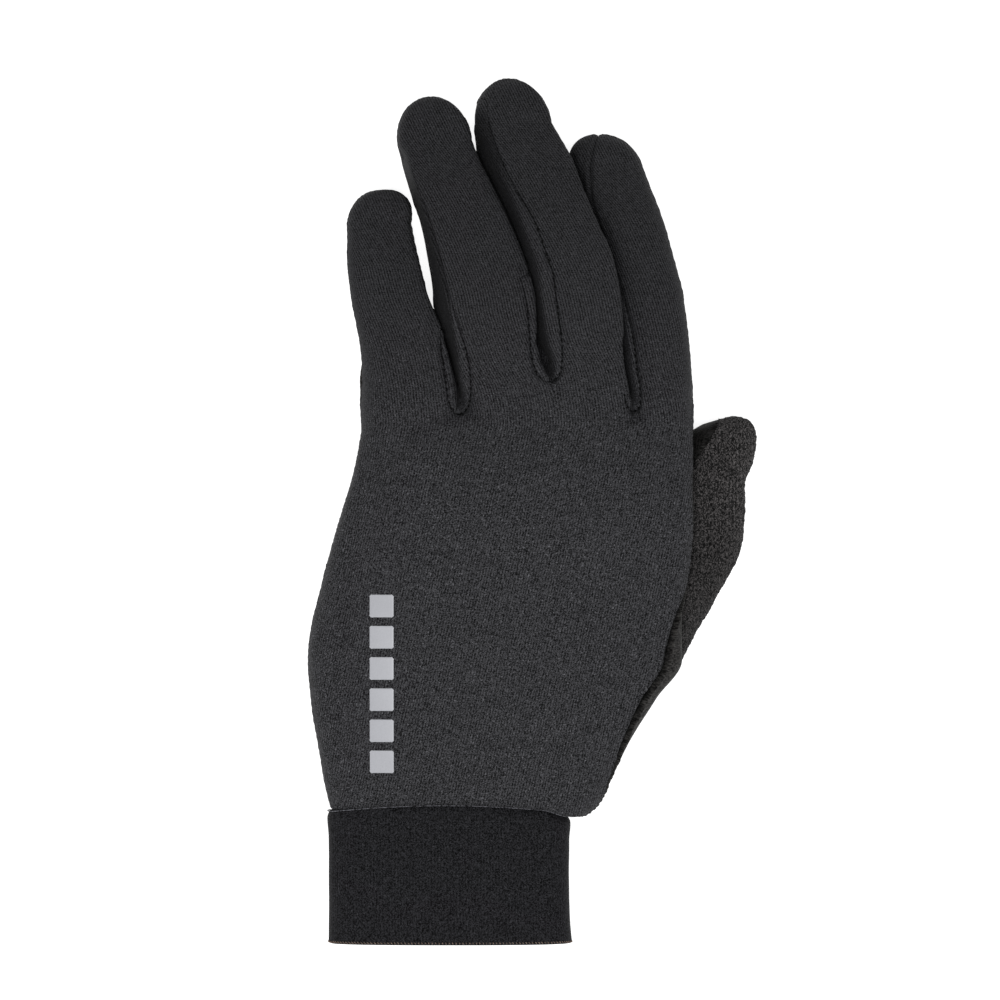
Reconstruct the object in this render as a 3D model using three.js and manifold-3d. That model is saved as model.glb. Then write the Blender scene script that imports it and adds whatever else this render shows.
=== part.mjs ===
// A left-hand running glove lying palm down, hollow from the cuff to the fingertips.
// Millimetres, +Z up, fingers along +Y, thumb on the +X side, resting on Z = 0.
// The hand is a set of tubes lofted through upright sections. They are joined, hollowed by the
// thickness of the cloth, and cut along the seams into the pieces that the glove is sewn from.
import * as THREE from "three";
import { mergeVertices } from "three/addons/utils/BufferGeometryUtils.js";
import Module from "manifold-3d";

// Driving dimensions.
const WALL = 1.4; // jersey of the back, the palm and the side strips
const CUFF_WALL = 1.8; // doubled elastic knit of the cuff
const SEAM_GAP = 0.3; // space left between two pieces that are sewn together
const SLANTED_GAP = 0.42; // the same measured across the width, where a seam runs at a slant
const SET_IN_GAP = 0.6; // the same round the foot of the thumb
const FINGER_SIDES = 16;
const HAND_SIDES = 34;
const CAP_STEPS = [0.35, 0.62, 0.82, 0.95]; // rings of a rounded end, as shares of its length
const CAP_END = 0.14; // size of the last ring of a rounded end
const FINGER_ROUND = 2.3; // superellipse exponents: 2 is an ellipse, more is squarer
const HAND_ROUND = 2.5;
const TIP_ROUND = 2.4;
const THUMB_TIP_ROUND = 3.2;
const KNUCKLE_ROUND = 1.7;
const SKY = 80; // a height above everything, for cutters

// Tables list one upright section in each row, from the wrist towards the fingertips.
// left and right are its X extent, top and bottom its Z extent, and midLeft and midRight the
// heights of its two outermost points. What would lie below Z = 0 is pressed flat.
const table = (columns, rows) =>
  rows.map((row) => Object.fromEntries(columns.map((name, i) => [name, row[i]])));

const CUFF = table(["y", "left", "right", "top", "bottom"], [
  [-120, -56.2, 11.0, 26.0, -0.6],
  [-113, -56.2, 10.5, 26.2, -0.6],
  [-100, -56.1, 10.0, 26.0, -0.6],
  [-90, -56.3, 10.3, 25.8, -0.6],
  [-82.8, -56.6, 10.8, 25.6, -0.6],
]);

const HAND = table(["y", "left", "right", "top", "bottom", "midLeft", "midRight"], [
  [-82.5, -56.3, 11.6, 25.8, -0.6, 12, 12],
  [-80.3, -56.7, 17.8, 27.6, -0.8, 12.5, 13],
  [-74, -57.8, 21.6, 30.4, -1.2, 13, 14],
  [-63, -59.5, 27.0, 33.2, -1.5, 14, 16],
  [-52, -61.0, 33.9, 35.0, -1.5, 15, 18],
  [-41, -61.9, 41.2, 36.0, -1.2, 15, 20],
  [-30, -60.7, 43.6, 36.6, -0.6, 15.5, 21.5],
  [-16, -57.4, 44.1, 36.8, 1.6, 16, 23],
  [0, -52.6, 44.3, 36.4, 5.0, 16.5, 23.5],
  [12, -49.0, 44.3, 35.3, 6.5, 17, 23.5],
  [20, -47.9, 44.2, 34.0, 7.4, 18, 22.8],
  [26, -47.4, 44.1, 32.9, 8.0, 18.5, 22.3],
]);
const HAND_CAP = 8;

// Soft folds of the back: a valley of the given depth and half width that runs through the rows.
const FOLDS = [
  {
    name: "along the little finger's side",
    depth: 1.3,
    halfWidth: 4.5,
    line: table(["y", "x"], [
      [-75, -50.0],
      [-46, -51.5],
      [-30, -51.2],
      [-13, -49.0],
      [3, -44.5],
      [16, -41.5],
      [28, -40.5],
    ]),
  },
  {
    name: "over the wrist seam, towards the thumb",
    depth: 1.0,
    halfWidth: 4,
    line: table(["y", "x"], [
      [-79, 4],
      [-72, 8],
      [-62, 14],
      [-52, 22],
    ]),
  },
];

// seamLeft and seamRight are where the finger's back meets the strips on its two sides, in X.
// roll tells how far the outermost points of a finger's left and right sides lie above its middle
// height, as shares of half its height: each finger is turned a little, so that its left strip
// shows from above and its left neighbour lies over it.
const fingerColumns = ["y", "left", "right", "top", "bottom", "seamLeft", "seamRight"];
const FINGERS = [
  {
    name: "little",
    roll: [0, 0.48],
    cap: 9,
    rows: table(fingerColumns, [
      [4, -42.5, -23.0, 27.0, 12.0, null, null],
      [30, -47.2, -19.2, 31.2, 9.5, null, -22.6],
      [34, -46.9, -20.6, 30.3, 9.4, null, -23.4],
      [40, -46.9, -22.6, 28.8, 9.0, null, -24.8],
      [50, -48.0, -25.6, 26.0, 8.0, null, -27.2],
      [60, -50.0, -28.7, 22.8, 5.8, null, -30.4],
      [70, -50.9, -31.5, 19.6, 3.2, null, -33.2],
      [80, -51.0, -33.5, 16.6, 0.2, null, -34.9],
    ]),
  },
  {
    name: "ring",
    roll: [-0.6, 0.48],
    cap: 11.8,
    rows: table(fingerColumns, [
      [4, -18.5, 3.5, 31.0, 13.0, null, null],
      [30, -21.6, 6.2, 33.2, 10.0, -17.5, null],
      [36, -20.6, 5.0, 32.8, 11.2, -17.3, 2.4],
      [40, -22.5, 3.4, 32.4, 12.0, -17.6, 1.2],
      [50, -25.7, 0.6, 31.8, 13.2, -19.9, -1.2],
      [60, -27.4, -0.2, 30.4, 12.6, -22.9, -2.2],
      [70, -29.0, -2.8, 28.0, 11.0, -25.7, -4.8],
      [80, -31.0, -6.8, 25.4, 8.4, -28.4, -8.6],
      [90, -34.2, -11.0, 22.2, 5.0, -32.6, -12.6],
      [97, -36.2, -14.2, 19.7, 2.0, -35.1, -15.8],
      [103, -37.0, -16.6, 17.6, -0.2, -36.1, -18.1],
    ]),
  },
  {
    name: "middle",
    roll: [-0.6, 0.35],
    cap: 11.9,
    rows: table(fingerColumns, [
      [4, 6.5, 26.0, 31.0, 13.0, null, null],
      [30, 3.8, 28.5, 33.6, 10.5, null, 24.6],
      [36, 4.0, 26.9, 33.4, 12.0, 7.2, 24.4],
      [40, 3.4, 25.9, 33.2, 13.0, 8.0, 23.8],
      [50, 0.4, 24.9, 32.8, 14.4, 8.0, 22.9],
      [60, -0.6, 24.2, 32.0, 14.2, 6.8, 21.8],
      [70, -3.0, 22.5, 30.4, 12.8, 4.4, 19.5],
      [80, -6.9, 18.2, 27.8, 10.2, 0.8, 16.4],
      [90, -11.1, 14.1, 24.6, 7.4, -4.9, 12.4],
      [98, -14.8, 10.8, 21.6, 4.2, -9.1, 9.3],
      [104, -15.8, 7.8, 19.2, 1.4, -12.0, 6.4],
      [108, -16.0, 5.6, 17.6, -0.3, -13.4, 4.3],
    ]),
  },
  {
    name: "index",
    roll: [-0.35, 0],
    cap: 9.5,
    rows: table(fingerColumns, [
      [4, 28.0, 40.0, 29.0, 15.0, null, null],
      [30, 26.0, 44.4, 32.0, 10.0, 29.6, null],
      [34, 26.9, 44.3, 31.1, 9.8, 29.7, null],
      [40, 25.4, 44.1, 29.4, 9.4, 29.0, null],
      [50, 24.0, 43.0, 26.0, 7.6, 27.2, null],
      [60, 22.4, 41.6, 23.0, 5.2, 25.0, null],
      [70, 20.0, 38.8, 20.7, 3.2, 23.0, null],
      [80, 16.9, 36.2, 19.0, 1.6, 18.9, null],
      [88, 13.8, 33.2, 17.8, 0.4, 16.4, null],
      [95, 11.2, 30.6, 16.8, -0.3, 15.0, null],
    ]),
  },
];

const THUMB = table(["y", "left", "right", "top", "bottom"], [
  [-62, 4.0, 24.0, 22.0, 3.0],
  [-52, 12.0, 32.0, 21.5, 1.0],
  [-41, 20.0, 41.0, 20.4, -0.4],
  [-30, 26.5, 47.5, 19.3, -0.4],
  [-19, 32.2, 53.6, 18.2, -0.4],
  [-8, 37.0, 58.2, 17.2, -0.4],
  [0, 39.2, 58.8, 16.7, -0.4],
  [8, 40.2, 59.3, 16.4, -0.4],
  [17, 41.6, 61.7, 16.8, -0.4],
]);
const THUMB_CAP = 9.6;
const THUMB_SEAM_DEG = 112; // direction of the thumb's upper seam from its centre line

// The bottoms of the three U-shaped seams between the fingers, and how far the side strips
// between two fingers reach past the shorter finger's last row.
const CROTCHES = table(["x", "y", "halfWidth"], [
  [-20.0, 27.6, 1.5],
  [4.9, 34.6, 1.7],
  [27.4, 27.6, 1.5],
]);
const STRIP_PAST_ROWS = 5.5;

// The heights at which the back is sewn to the palm along the hand's two edges. On the thumb's
// side the palm panel wraps up over the edge.
const EDGE_SEAM = table(["y", "left", "right"], [
  [-90, 12, 12],
  [-82.5, 12, 13],
  [-74, 13, 18],
  [-63, 14, 23],
  [-52, 15, 27],
  [-41, 15, 30],
  [-30, 15.5, 30],
  [-16, 16, 27.5],
  [0, 16.5, 24.5],
  [14, 17, 23.5],
  [24, 18.5, 22.5],
]);

const wasm = await Module();
wasm.setup();

// A closed triangle list as a solid that can be joined and cut.
function solidFrom(positions, triangles) {
  const geometry = new THREE.BufferGeometry();
  geometry.setAttribute("position", new THREE.Float32BufferAttribute(positions, 3));
  geometry.setIndex(triangles);
  const merged = mergeVertices(geometry, 1e-4);
  return new wasm.Manifold(
    new wasm.Mesh({
      numProp: 3,
      vertProperties: merged.attributes.position.array,
      triVerts: new Uint32Array(merged.index.array),
    }),
  );
}

// Closed loft through rings of equally many points, each counter-clockwise seen from -Y.
function loft(rings) {
  const count = rings[0].length;
  const positions = rings.flat(2);
  const triangles = [];
  for (let r = 0; r + 1 < rings.length; r++) {
    for (let i = 0; i < count; i++) {
      const a = r * count + i;
      const b = r * count + ((i + 1) % count);
      triangles.push(a, b + count, b, a, a + count, b + count);
    }
  }
  const last = (rings.length - 1) * count;
  for (let i = 1; i + 1 < count; i++) {
    triangles.push(0, i, i + 1);
    triangles.push(last, last + i + 1, last + i);
  }
  return solidFrom(positions, triangles);
}

const signedPower = (value, power) => Math.sign(value) * Math.abs(value) ** power;

// The value of a table's column at y, straight between its rows, or null outside them.
function at(rows, column, y) {
  const k = rows.findIndex((row, i) => i + 1 < rows.length && y >= row.y && y <= rows[i + 1].y);
  if (k < 0) {
    return null;
  }
  const share = (y - rows[k].y) / (rows[k + 1].y - rows[k].y);
  return rows[k][column] * (1 - share) + rows[k + 1][column] * share;
}

// How far the folds press the back down at a place.
function foldDepth(x, y) {
  return FOLDS.reduce((sum, fold) => {
    const line = at(fold.line, "x", y);
    return line === null ? sum : sum + fold.depth * Math.exp(-(((x - line) / fold.halfWidth) ** 2));
  }, 0);
}

// One upright section of a tube, taken in by inset on every side.
function ring(row, { sides, round, inset = 0, roll = [0, 0], folded = false }) {
  const left = row.left + inset;
  const right = row.right - inset;
  const top = row.top - inset;
  const bottom = row.bottom + inset;
  const middle = (row.top + row.bottom) / 2;
  const rise = (top - bottom) / 2;
  const midLeft = row.midLeft ?? middle + rise * roll[0];
  const midRight = row.midRight ?? middle + rise * roll[1];
  const points = [];
  for (let i = 0; i < sides; i++) {
    const angle = (2 * Math.PI * (i + 0.5)) / sides;
    const across = signedPower(Math.cos(angle), 2 / round);
    const up = signedPower(Math.sin(angle), 2 / round);
    const share = (1 + across) / 2;
    const mid = midLeft * (1 - share) + midRight * share;
    const reach = up > 0 ? top - mid : mid - bottom;
    const x = (left + right) / 2 + ((right - left) / 2) * across;
    const sunk = folded && up > 0 ? foldDepth(x, row.y) * up : 0;
    points.push([x, row.y, mid + reach * up - sunk]);
  }
  return points;
}

// A tube through the rows of a table, with a rounded end of the given length past the last row.
function tube(rows, options) {
  const { cap = 0, tipRound = TIP_ROUND, inset = 0 } = options;
  const rings = rows.map((row) => ring(row, options));
  if (cap) {
    const last = rows.at(-1);
    const before = rows.at(-2);
    const base = ring(last, options);
    const length = cap - inset;
    const centre = [(last.left + last.right) / 2, (last.top + last.bottom) / 2];
    const lean = (centre[0] - (before.left + before.right) / 2) / (last.y - before.y);
    for (const step of [...CAP_STEPS, 1]) {
      const size = step < 1 ? (1 - step ** tipRound) ** (1 / tipRound) : CAP_END;
      rings.push(
        base.map(([x, , z]) => [
          centre[0] + (x - centre[0]) * size + (lean * length * step) / 2,
          last.y + length * step,
          centre[1] + (z - centre[1]) * size,
        ]),
      );
    }
  }
  return loft(rings);
}

// A tube that also runs on straight past its first row, so that a hollow opens there.
function openTube(rows, options, past) {
  const first = { ...rows[0], y: rows[0].y - past };
  return tube([first, ...rows], options);
}

// An upright prism over a plan outline, from -SKY to SKY.
function prism(points) {
  const geometry = new THREE.ExtrudeGeometry(new THREE.Shape(points), {
    depth: 2 * SKY,
    bevelEnabled: false,
  });
  geometry.translate(0, 0, -SKY);
  geometry.deleteAttribute("normal");
  geometry.deleteAttribute("uv");
  const merged = mergeVertices(geometry, 1e-4);
  return solidFrom([...merged.attributes.position.array], [...merged.index.array]);
}

function block(x0, x1, y0, y1, z0, z1) {
  const box = new THREE.BoxGeometry(x1 - x0, y1 - y0, z1 - z0);
  box.translate((x0 + x1) / 2, (y0 + y1) / 2, (z0 + z1) / 2);
  box.deleteAttribute("normal");
  box.deleteAttribute("uv");
  const merged = mergeVertices(box, 1e-4);
  return solidFrom([...merged.attributes.position.array], [...merged.index.array]);
}

const joined = (solids) => solids.reduce((sum, solid) => sum.add(solid));
const aboveFloor = (solid, floor) => solid.intersect(block(-SKY, SKY, -200, 200, floor, SKY));

// The outer form and the hollow of the hand without its thumb.
function handForm(inset) {
  const palmOptions = {
    sides: HAND_SIDES,
    round: HAND_ROUND,
    cap: HAND_CAP,
    tipRound: KNUCKLE_ROUND,
    folded: true,
    inset,
  };
  const palm = inset > 0 ? openTube(HAND, palmOptions, 5) : tube(HAND, palmOptions);
  const fingers = FINGERS.map((finger) =>
    tube(finger.rows, {
      sides: FINGER_SIDES,
      round: FINGER_ROUND,
      cap: finger.cap,
      roll: finger.roll,
      inset,
    }),
  );
  return joined([palm, ...fingers]);
}

function thumbForm(inset) {
  return tube(THUMB, {
    sides: FINGER_SIDES,
    round: FINGER_ROUND,
    cap: THUMB_CAP,
    tipRound: THUMB_TIP_ROUND,
    inset,
  });
}

// The plan outline of the side strips between finger k and the next one. It runs down the right
// seam of the first finger, round the U between them, up the left seam of the second, and back
// over the fingertips through free space. grow widens it by the gap at the seams.
function stripOutline(k, grow) {
  const [a, b] = [FINGERS[k], FINGERS[k + 1]];
  const crotch = CROTCHES[k];
  const down = a.rows.filter((row) => row.seamRight !== null && row.y > crotch.y + 2);
  const up = b.rows.filter((row) => row.seamLeft !== null && row.y > crotch.y + 2);
  const endA = down.at(-1);
  const endB = up.at(-1);
  const points = [];
  points.push([endA.seamRight - grow + 0.9, endA.y + STRIP_PAST_ROWS + grow]);
  down.toReversed().forEach((row) => points.push([row.seamRight - grow, row.y]));
  points.push([crotch.x - crotch.halfWidth - grow, crotch.y + 1.2]);
  points.push([crotch.x - crotch.halfWidth / 2, crotch.y - grow]);
  points.push([crotch.x + crotch.halfWidth / 2, crotch.y - grow]);
  points.push([crotch.x + crotch.halfWidth + grow, crotch.y + 1.2]);
  up.forEach((row) => points.push([row.seamLeft + grow, row.y]));
  points.push([endB.seamLeft + grow + 0.4, endB.y + STRIP_PAST_ROWS + grow]);
  if (endB.y > endA.y) {
    points.push([endB.left - 3, endB.y + STRIP_PAST_ROWS + grow]);
  }
  return points.map(([x, y]) => new THREE.Vector2(x, y));
}

// A thin ruled sheet that parts the back from the palm, through rows of { y, from, to, height }.
function seamSheet(rows) {
  return loft(
    rows.map(({ y, from, to, height }) => [
      [from, y, height - SEAM_GAP / 2],
      [to, y, height - SEAM_GAP / 2],
      [to, y, height + SEAM_GAP / 2],
      [from, y, height + SEAM_GAP / 2],
    ]),
  );
}

// The seam sheet of a finger at half its height, on past its tip.
function fingerSeamRows(finger, fromLeft, toRight) {
  const rows = finger.rows.filter((row) => row.y >= 30);
  const past = { ...rows.at(-1), y: rows.at(-1).y + 20 };
  return [...rows, past].map((row) => ({
    y: row.y,
    from: row.left - fromLeft,
    to: row.right + toRight,
    height: (row.top + Math.max(row.bottom, 0)) / 2,
  }));
}

function edgeSeamSheets() {
  const [little, ringFinger, middle, index] = FINGERS;
  const handLeft = EDGE_SEAM.map(({ y, left }) => ({ y, from: -75, to: -20, height: left }));
  const handRight = EDGE_SEAM.map(({ y, right }) => ({ y, from: 0, to: 75, height: right }));
  return joined([
    seamSheet([...handLeft, ...fingerSeamRows(little, 20, 0.2)]),
    seamSheet([...handRight, ...fingerSeamRows(index, 0.2, 20)]),
    seamSheet(fingerSeamRows(ringFinger, 3, 3)),
    seamSheet(fingerSeamRows(middle, 3, 3)),
  ]);
}

// A thin sheet along the thumb's centre line, which parts its back from its front.
function thumbSeamSheet() {
  const angle = THREE.MathUtils.degToRad(THUMB_SEAM_DEG);
  const along = [Math.cos(angle), Math.sin(angle)];
  const beside = [along[1], -along[0]];
  const reach = 30;
  const corners = [[-1, -1], [-1, 1], [1, 1], [1, -1]];
  const first = THUMB[0];
  const last = THUMB.at(-1);
  const rows = [{ ...first, y: first.y - 10 }, ...THUMB, { ...last, y: last.y + 20 }];
  return loft(
    rows.map((row) => {
      const centre = [(row.left + row.right) / 2, (row.top + Math.max(row.bottom, 0)) / 2];
      return corners.map(([end, side]) => [
        centre[0] + end * reach * along[0] + (side * SEAM_GAP * beside[0]) / 2,
        row.y,
        centre[1] + end * reach * along[1] + (side * SEAM_GAP * beside[1]) / 2,
      ]);
    }),
  );
}

const largestFirst = (solid) =>
  solid.decompose().toSorted((a, b) => b.volume() - a.volume());
const middleOf = (solid, axis) => {
  const { min, max } = solid.boundingBox();
  return (min[axis] + max[axis]) / 2;
};

// The hand's shell without the thumb, open at the wrist and where the thumb is set in.
const handShell = aboveFloor(handForm(0), 0)
  .subtract(aboveFloor(handForm(WALL), WALL))
  .subtract(aboveFloor(thumbForm(WALL), WALL));

const strips = [0, 1, 2].map(
  (k) => largestFirst(handShell.intersect(prism(stripOutline(k, 0))))[0],
);
const withoutStrips = [0, 1, 2].reduce(
  (solid, k) => solid.subtract(prism(stripOutline(k, SLANTED_GAP))),
  handShell,
);
const [backPanel, palmPanel] = largestFirst(withoutStrips.subtract(edgeSeamSheets()))
  .slice(0, 2)
  .toSorted((a, b) => middleOf(b, 2) - middleOf(a, 2));

// The thumb is its own tube, set into the hand's side.
const thumbShell = aboveFloor(thumbForm(0), 0)
  .subtract(aboveFloor(thumbForm(WALL), WALL))
  .subtract(handForm(-SET_IN_GAP));
const [thumbBack, thumbFront] = largestFirst(thumbShell.subtract(thumbSeamSheet()))
  .slice(0, 2)
  .toSorted((a, b) => middleOf(b, 0) - middleOf(a, 0));

const cuffOptions = { sides: HAND_SIDES, round: HAND_ROUND };
const cuff = aboveFloor(tube(CUFF, cuffOptions), 0).subtract(
  aboveFloor(
    openTube([...CUFF, { ...CUFF.at(-1), y: -75 }], { ...cuffOptions, inset: CUFF_WALL }, 5),
    CUFF_WALL,
  ),
);

function meshOf(name, solid, material) {
  const { vertProperties, triVerts, numProp, numVert } = solid.getMesh();
  const positions = new Float32Array(numVert * 3);
  for (let i = 0; i < numVert; i++) {
    positions.set(vertProperties.subarray(i * numProp, i * numProp + 3), i * 3);
  }
  const geometry = new THREE.BufferGeometry();
  geometry.setAttribute("position", new THREE.BufferAttribute(positions, 3));
  geometry.setIndex(new THREE.BufferAttribute(new Uint32Array(triVerts), 1));
  geometry.computeVertexNormals();
  const mesh = new THREE.Mesh(geometry, material);
  mesh.name = name;
  return mesh;
}

const cloth = (color, roughness) =>
  new THREE.MeshStandardMaterial({ color, roughness, metalness: 0 });
const backJersey = cloth(0x363638, 0.8);
const palmJersey = cloth(0x2b2a2b, 0.85);
const stripJersey = cloth(0x2c2c2e, 0.8);
const towelling = cloth(0x2e2c2d, 0.95);
const elasticKnit = cloth(0x242426, 0.85);

const glove = new THREE.Group();
glove.add(meshOf("back_panel", backPanel, backJersey));
glove.add(meshOf("palm_panel", palmPanel, palmJersey));
strips.forEach((strip, k) => {
  const name = `side_strip_${FINGERS[k].name}_${FINGERS[k + 1].name}`;
  glove.add(meshOf(name, strip, stripJersey));
});
glove.add(meshOf("thumb_back", thumbBack, towelling));
glove.add(meshOf("thumb_front", thumbFront, palmJersey));
glove.add(meshOf("cuff", cuff, elasticKnit));

// The origin is under the middle of the glove's outline, on the surface that it lies on.
const bounds = new THREE.Box3().setFromObject(glove);
const centre = bounds.getCenter(new THREE.Vector3());
glove.position.set(-centre.x, -centre.y, -bounds.min.z);

export default glove;
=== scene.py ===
"""Looks of a left-hand running glove that lies palm down, dressed on the frame of its solids.

The hand of the glove is one smooth form, which is cut along the seams into its panels. Every
panel gets the thickness of its cloth, sunken seams and a knitted surface. The thumb, the cuff,
the threads and the reflective bars follow. Tables are in millimetres, as in the frame's source.
"""

import itertools
import math

import bpy
import numpy as np
from mathutils.kdtree import KDTree
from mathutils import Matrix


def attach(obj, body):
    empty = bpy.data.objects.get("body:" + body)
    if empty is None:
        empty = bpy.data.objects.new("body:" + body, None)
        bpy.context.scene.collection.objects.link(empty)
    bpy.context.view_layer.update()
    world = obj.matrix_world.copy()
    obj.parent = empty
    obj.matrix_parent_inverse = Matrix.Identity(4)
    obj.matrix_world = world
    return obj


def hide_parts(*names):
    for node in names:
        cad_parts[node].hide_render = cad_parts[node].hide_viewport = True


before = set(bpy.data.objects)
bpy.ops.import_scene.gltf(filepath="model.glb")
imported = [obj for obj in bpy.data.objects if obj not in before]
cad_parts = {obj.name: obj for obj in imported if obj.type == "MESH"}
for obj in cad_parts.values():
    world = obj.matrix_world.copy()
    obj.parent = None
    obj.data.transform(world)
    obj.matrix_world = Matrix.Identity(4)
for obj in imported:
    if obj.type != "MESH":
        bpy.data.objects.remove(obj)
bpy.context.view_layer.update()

bl_info = {
    "name": "Running glove",
    "version": (1, 0, 0),
    "blender": (4, 5, 0),
    "location": "3D View > Sidebar > Glove",
    "description": "Dresses a left-hand running glove: panels, seams, threads and stage",
    "category": "Object",
}

MM = 0.001

# Sections from the wrist towards the fingertips: y, left, right, top, bottom, and the heights of
# the two outermost points.
HAND = np.array([
    [-90.0, -56.0, 9.6, 25.2, -0.6, 12.0, 12.0],
    [-86.2, -56.0, 9.8, 25.2, -0.6, 12.0, 12.0],
    [-84.9, -55.3, 13.2, 25.5, -0.6, 12.0, 12.0],
    [-83.2, -55.5, 16.4, 26.0, -0.7, 12.2, 12.5],
    [-80.0, -56.3, 19.3, 28.0, -0.8, 12.5, 13.0],
    [-74.0, -57.6, 22.2, 30.4, -1.2, 13.0, 14.0],
    [-63.0, -59.3, 27.6, 33.2, -1.5, 14.0, 16.0],
    [-52.0, -60.9, 34.5, 35.0, -1.5, 15.0, 18.0],
    [-41.0, -61.8, 41.8, 36.0, -1.2, 15.0, 20.0],
    [-30.0, -60.6, 41.7, 36.6, -0.6, 15.5, 21.5],
    [-24.0, -59.2, 42.2, 36.7, 0.3, 15.7, 22.1],
    [-16.0, -57.2, 43.4, 36.8, 1.6, 16.0, 23.0],
    [0.0, -52.5, 44.5, 36.4, 5.0, 16.5, 23.5],
    [12.0, -49.0, 44.5, 35.3, 6.5, 17.0, 23.5],
    [22.5, -47.0, 44.3, 33.5, 7.7, 18.3, 22.5],
])

# How far the hand's form runs on past its last section, and how round its end and sections are.
HAND_CAP = 7.0
HAND_END_ROUND = 1.7
HAND_SECTION_ROUND = 2.5
# The columns of a section's top and bottom, once its y is taken off.
TOP, BOTTOM = 2, 3
# The cloth reaches further between the ring and the middle finger: how far, at which x, how wide.
HAND_TONGUE = (9.0, 5.2, 12.0)
# Folds show on the hand's upper side: from which share of its height on, over what share.
FOLDED_SIDE = (0.5, 0.3)

# Sections of each finger: y, left, right, top, bottom.
LITTLE = np.array([
    [4, -42.8, -23.0, 27.0, 12.0],
    [30, -47.1, -20.4, 31.2, 9.5],
    [34, -46.7, -20.7, 30.3, 9.4],
    [39, -46.8, -21.5, 29.0, 9.1],
    [45, -47.4, -22.8, 27.5, 8.6],
    [50, -48.2, -24.5, 26.0, 8.0],
    [56, -49.6, -27.1, 24.2, 6.8],
    [60, -50.3, -28.7, 22.8, 5.8],
    [70, -51.2, -31.3, 19.6, 3.2],
    [80, -51.4, -33.5, 16.6, 0.2],
], float)
RING = np.array([
    [4, -18.5, 3.5, 31.0, 13.0],
    [30, -20.0, 6.3, 33.2, 10.0],
    [34, -20.5, 6.0, 32.9, 11.0],
    [39, -22.2, 3.7, 32.5, 11.8],
    [42, -23.1, 2.4, 32.3, 12.3],
    [45, -24.0, 1.9, 32.1, 12.8],
    [50, -25.9, 1.5, 31.8, 13.2],
    [56, -27.5, 1.3, 31.0, 13.1],
    [60, -27.6, 0.9, 30.4, 12.6],
    [70, -29.0, -2.0, 28.0, 11.0],
    [80, -31.1, -6.0, 25.4, 8.4],
    [90, -34.4, -10.7, 22.2, 5.0],
    [97, -36.4, -14.2, 19.7, 2.0],
    [103, -37.2, -16.6, 17.6, -0.2],
], float)
MIDDLE = np.array([
    [4, 6.5, 26.0, 31.0, 13.0],
    [30, 4.6, 27.8, 33.6, 10.5],
    [36, 5.0, 27.0, 33.4, 12.0],
    [40, 4.5, 26.3, 33.2, 13.0],
    [45, 1.6, 25.8, 33.1, 13.8],
    [50, -0.1, 25.4, 32.8, 14.4],
    [56, -0.5, 24.9, 32.4, 14.3],
    [60, -0.8, 24.4, 32.0, 14.2],
    [70, -4.1, 22.5, 30.4, 12.8],
    [80, -7.9, 18.2, 27.8, 10.2],
    [90, -12.0, 14.1, 24.6, 7.4],
    [98, -15.4, 11.1, 21.6, 4.2],
    [104, -15.9, 7.7, 19.2, 1.4],
    [108, -15.7, 5.5, 17.6, -0.3],
], float)
INDEX = np.array([
    [4, 28.0, 40.0, 29.0, 15.0],
    [30, 26.9, 44.5, 32.0, 10.0],
    [34, 26.2, 44.5, 31.1, 9.8],
    [40, 25.0, 44.2, 29.4, 9.4],
    [50, 24.1, 43.4, 26.0, 7.6],
    [60, 23.0, 42.2, 23.0, 5.2],
    [70, 20.4, 39.6, 20.7, 3.2],
    [80, 17.0, 36.9, 19.0, 1.6],
    [88, 13.2, 33.8, 17.8, 0.4],
    [95, 10.4, 31.1, 16.8, -0.3],
], float)
FINGERS = [LITTLE, RING, MIDDLE, INDEX]
MIDDLE_FINGER, INDEX_FINGER = 2, 3
# How far each fingertip runs on past its last section, and how blunt it is.
FINGER_CAPS = [9.5, 12.3, 12.4, 10.0]
FINGER_TIP_ROUNDS = [2.3, 2.0, 1.9, 2.15]
# How high the left and the right edge of each finger lie: 0 is halfway up and 1 at the top.
FINGER_ROLLS = [(0, 0.58), (-0.6, 0.58), (-0.6, 0.5), (-0.35, 0)]
# How far the middle of each fingertip leans aside for each millimetre past the last row.
FINGER_LEANS = [0.18, -0.08, -0.1, -0.2]
# How round the fingers' sections are, and how much squarer a side with a shoulder and a right side
# that faces another finger get: from which y on, over what length.
FINGER_SECTION_ROUND = 2.3
SHOULDER_SQUARE = 2.0
FACING_SQUARE = 3.7
SQUARE_FROM, SQUARE_RAMP = 24, 12
# Rounding where a finger joins the palm.
FINGER_MERGE = 1.6
# How far a finger's form runs on before its first section.
START_CAP = 8.0
# The ring and the middle finger have a steep flat wall on their left side: y and the x of the
# shoulder where it meets the rounded back.
SHOULDERS = {
    1: np.array([[28, -19.3], [36, -19.9], [45, -20.9], [50, -21.7], [58, -23.3], [70, -26.2],
                 [80, -28.6], [90, -32.0], [98, -34.3], [106, -35.0]], float),
    2: np.array([[37, 6.6], [41, 6.0], [45, 5.0], [50, 4.0], [58, 2.9], [67, 1.6], [76, -1.4],
                 [86, -5.4], [95, -9.8], [104, -12.6], [110, -13.4]], float),
}

# The shoulder's height below the finger's top, its rounding, how the wall fades in and out along
# the finger, and how far off it is kept where it has no effect.
SHOULDER_DROP = 1.6
SHOULDER_ROUNDING = 1.4
SHOULDER_BEGIN, SHOULDER_END = 5.0, 8.0
SHOULDER_OFF = 5.0

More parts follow.
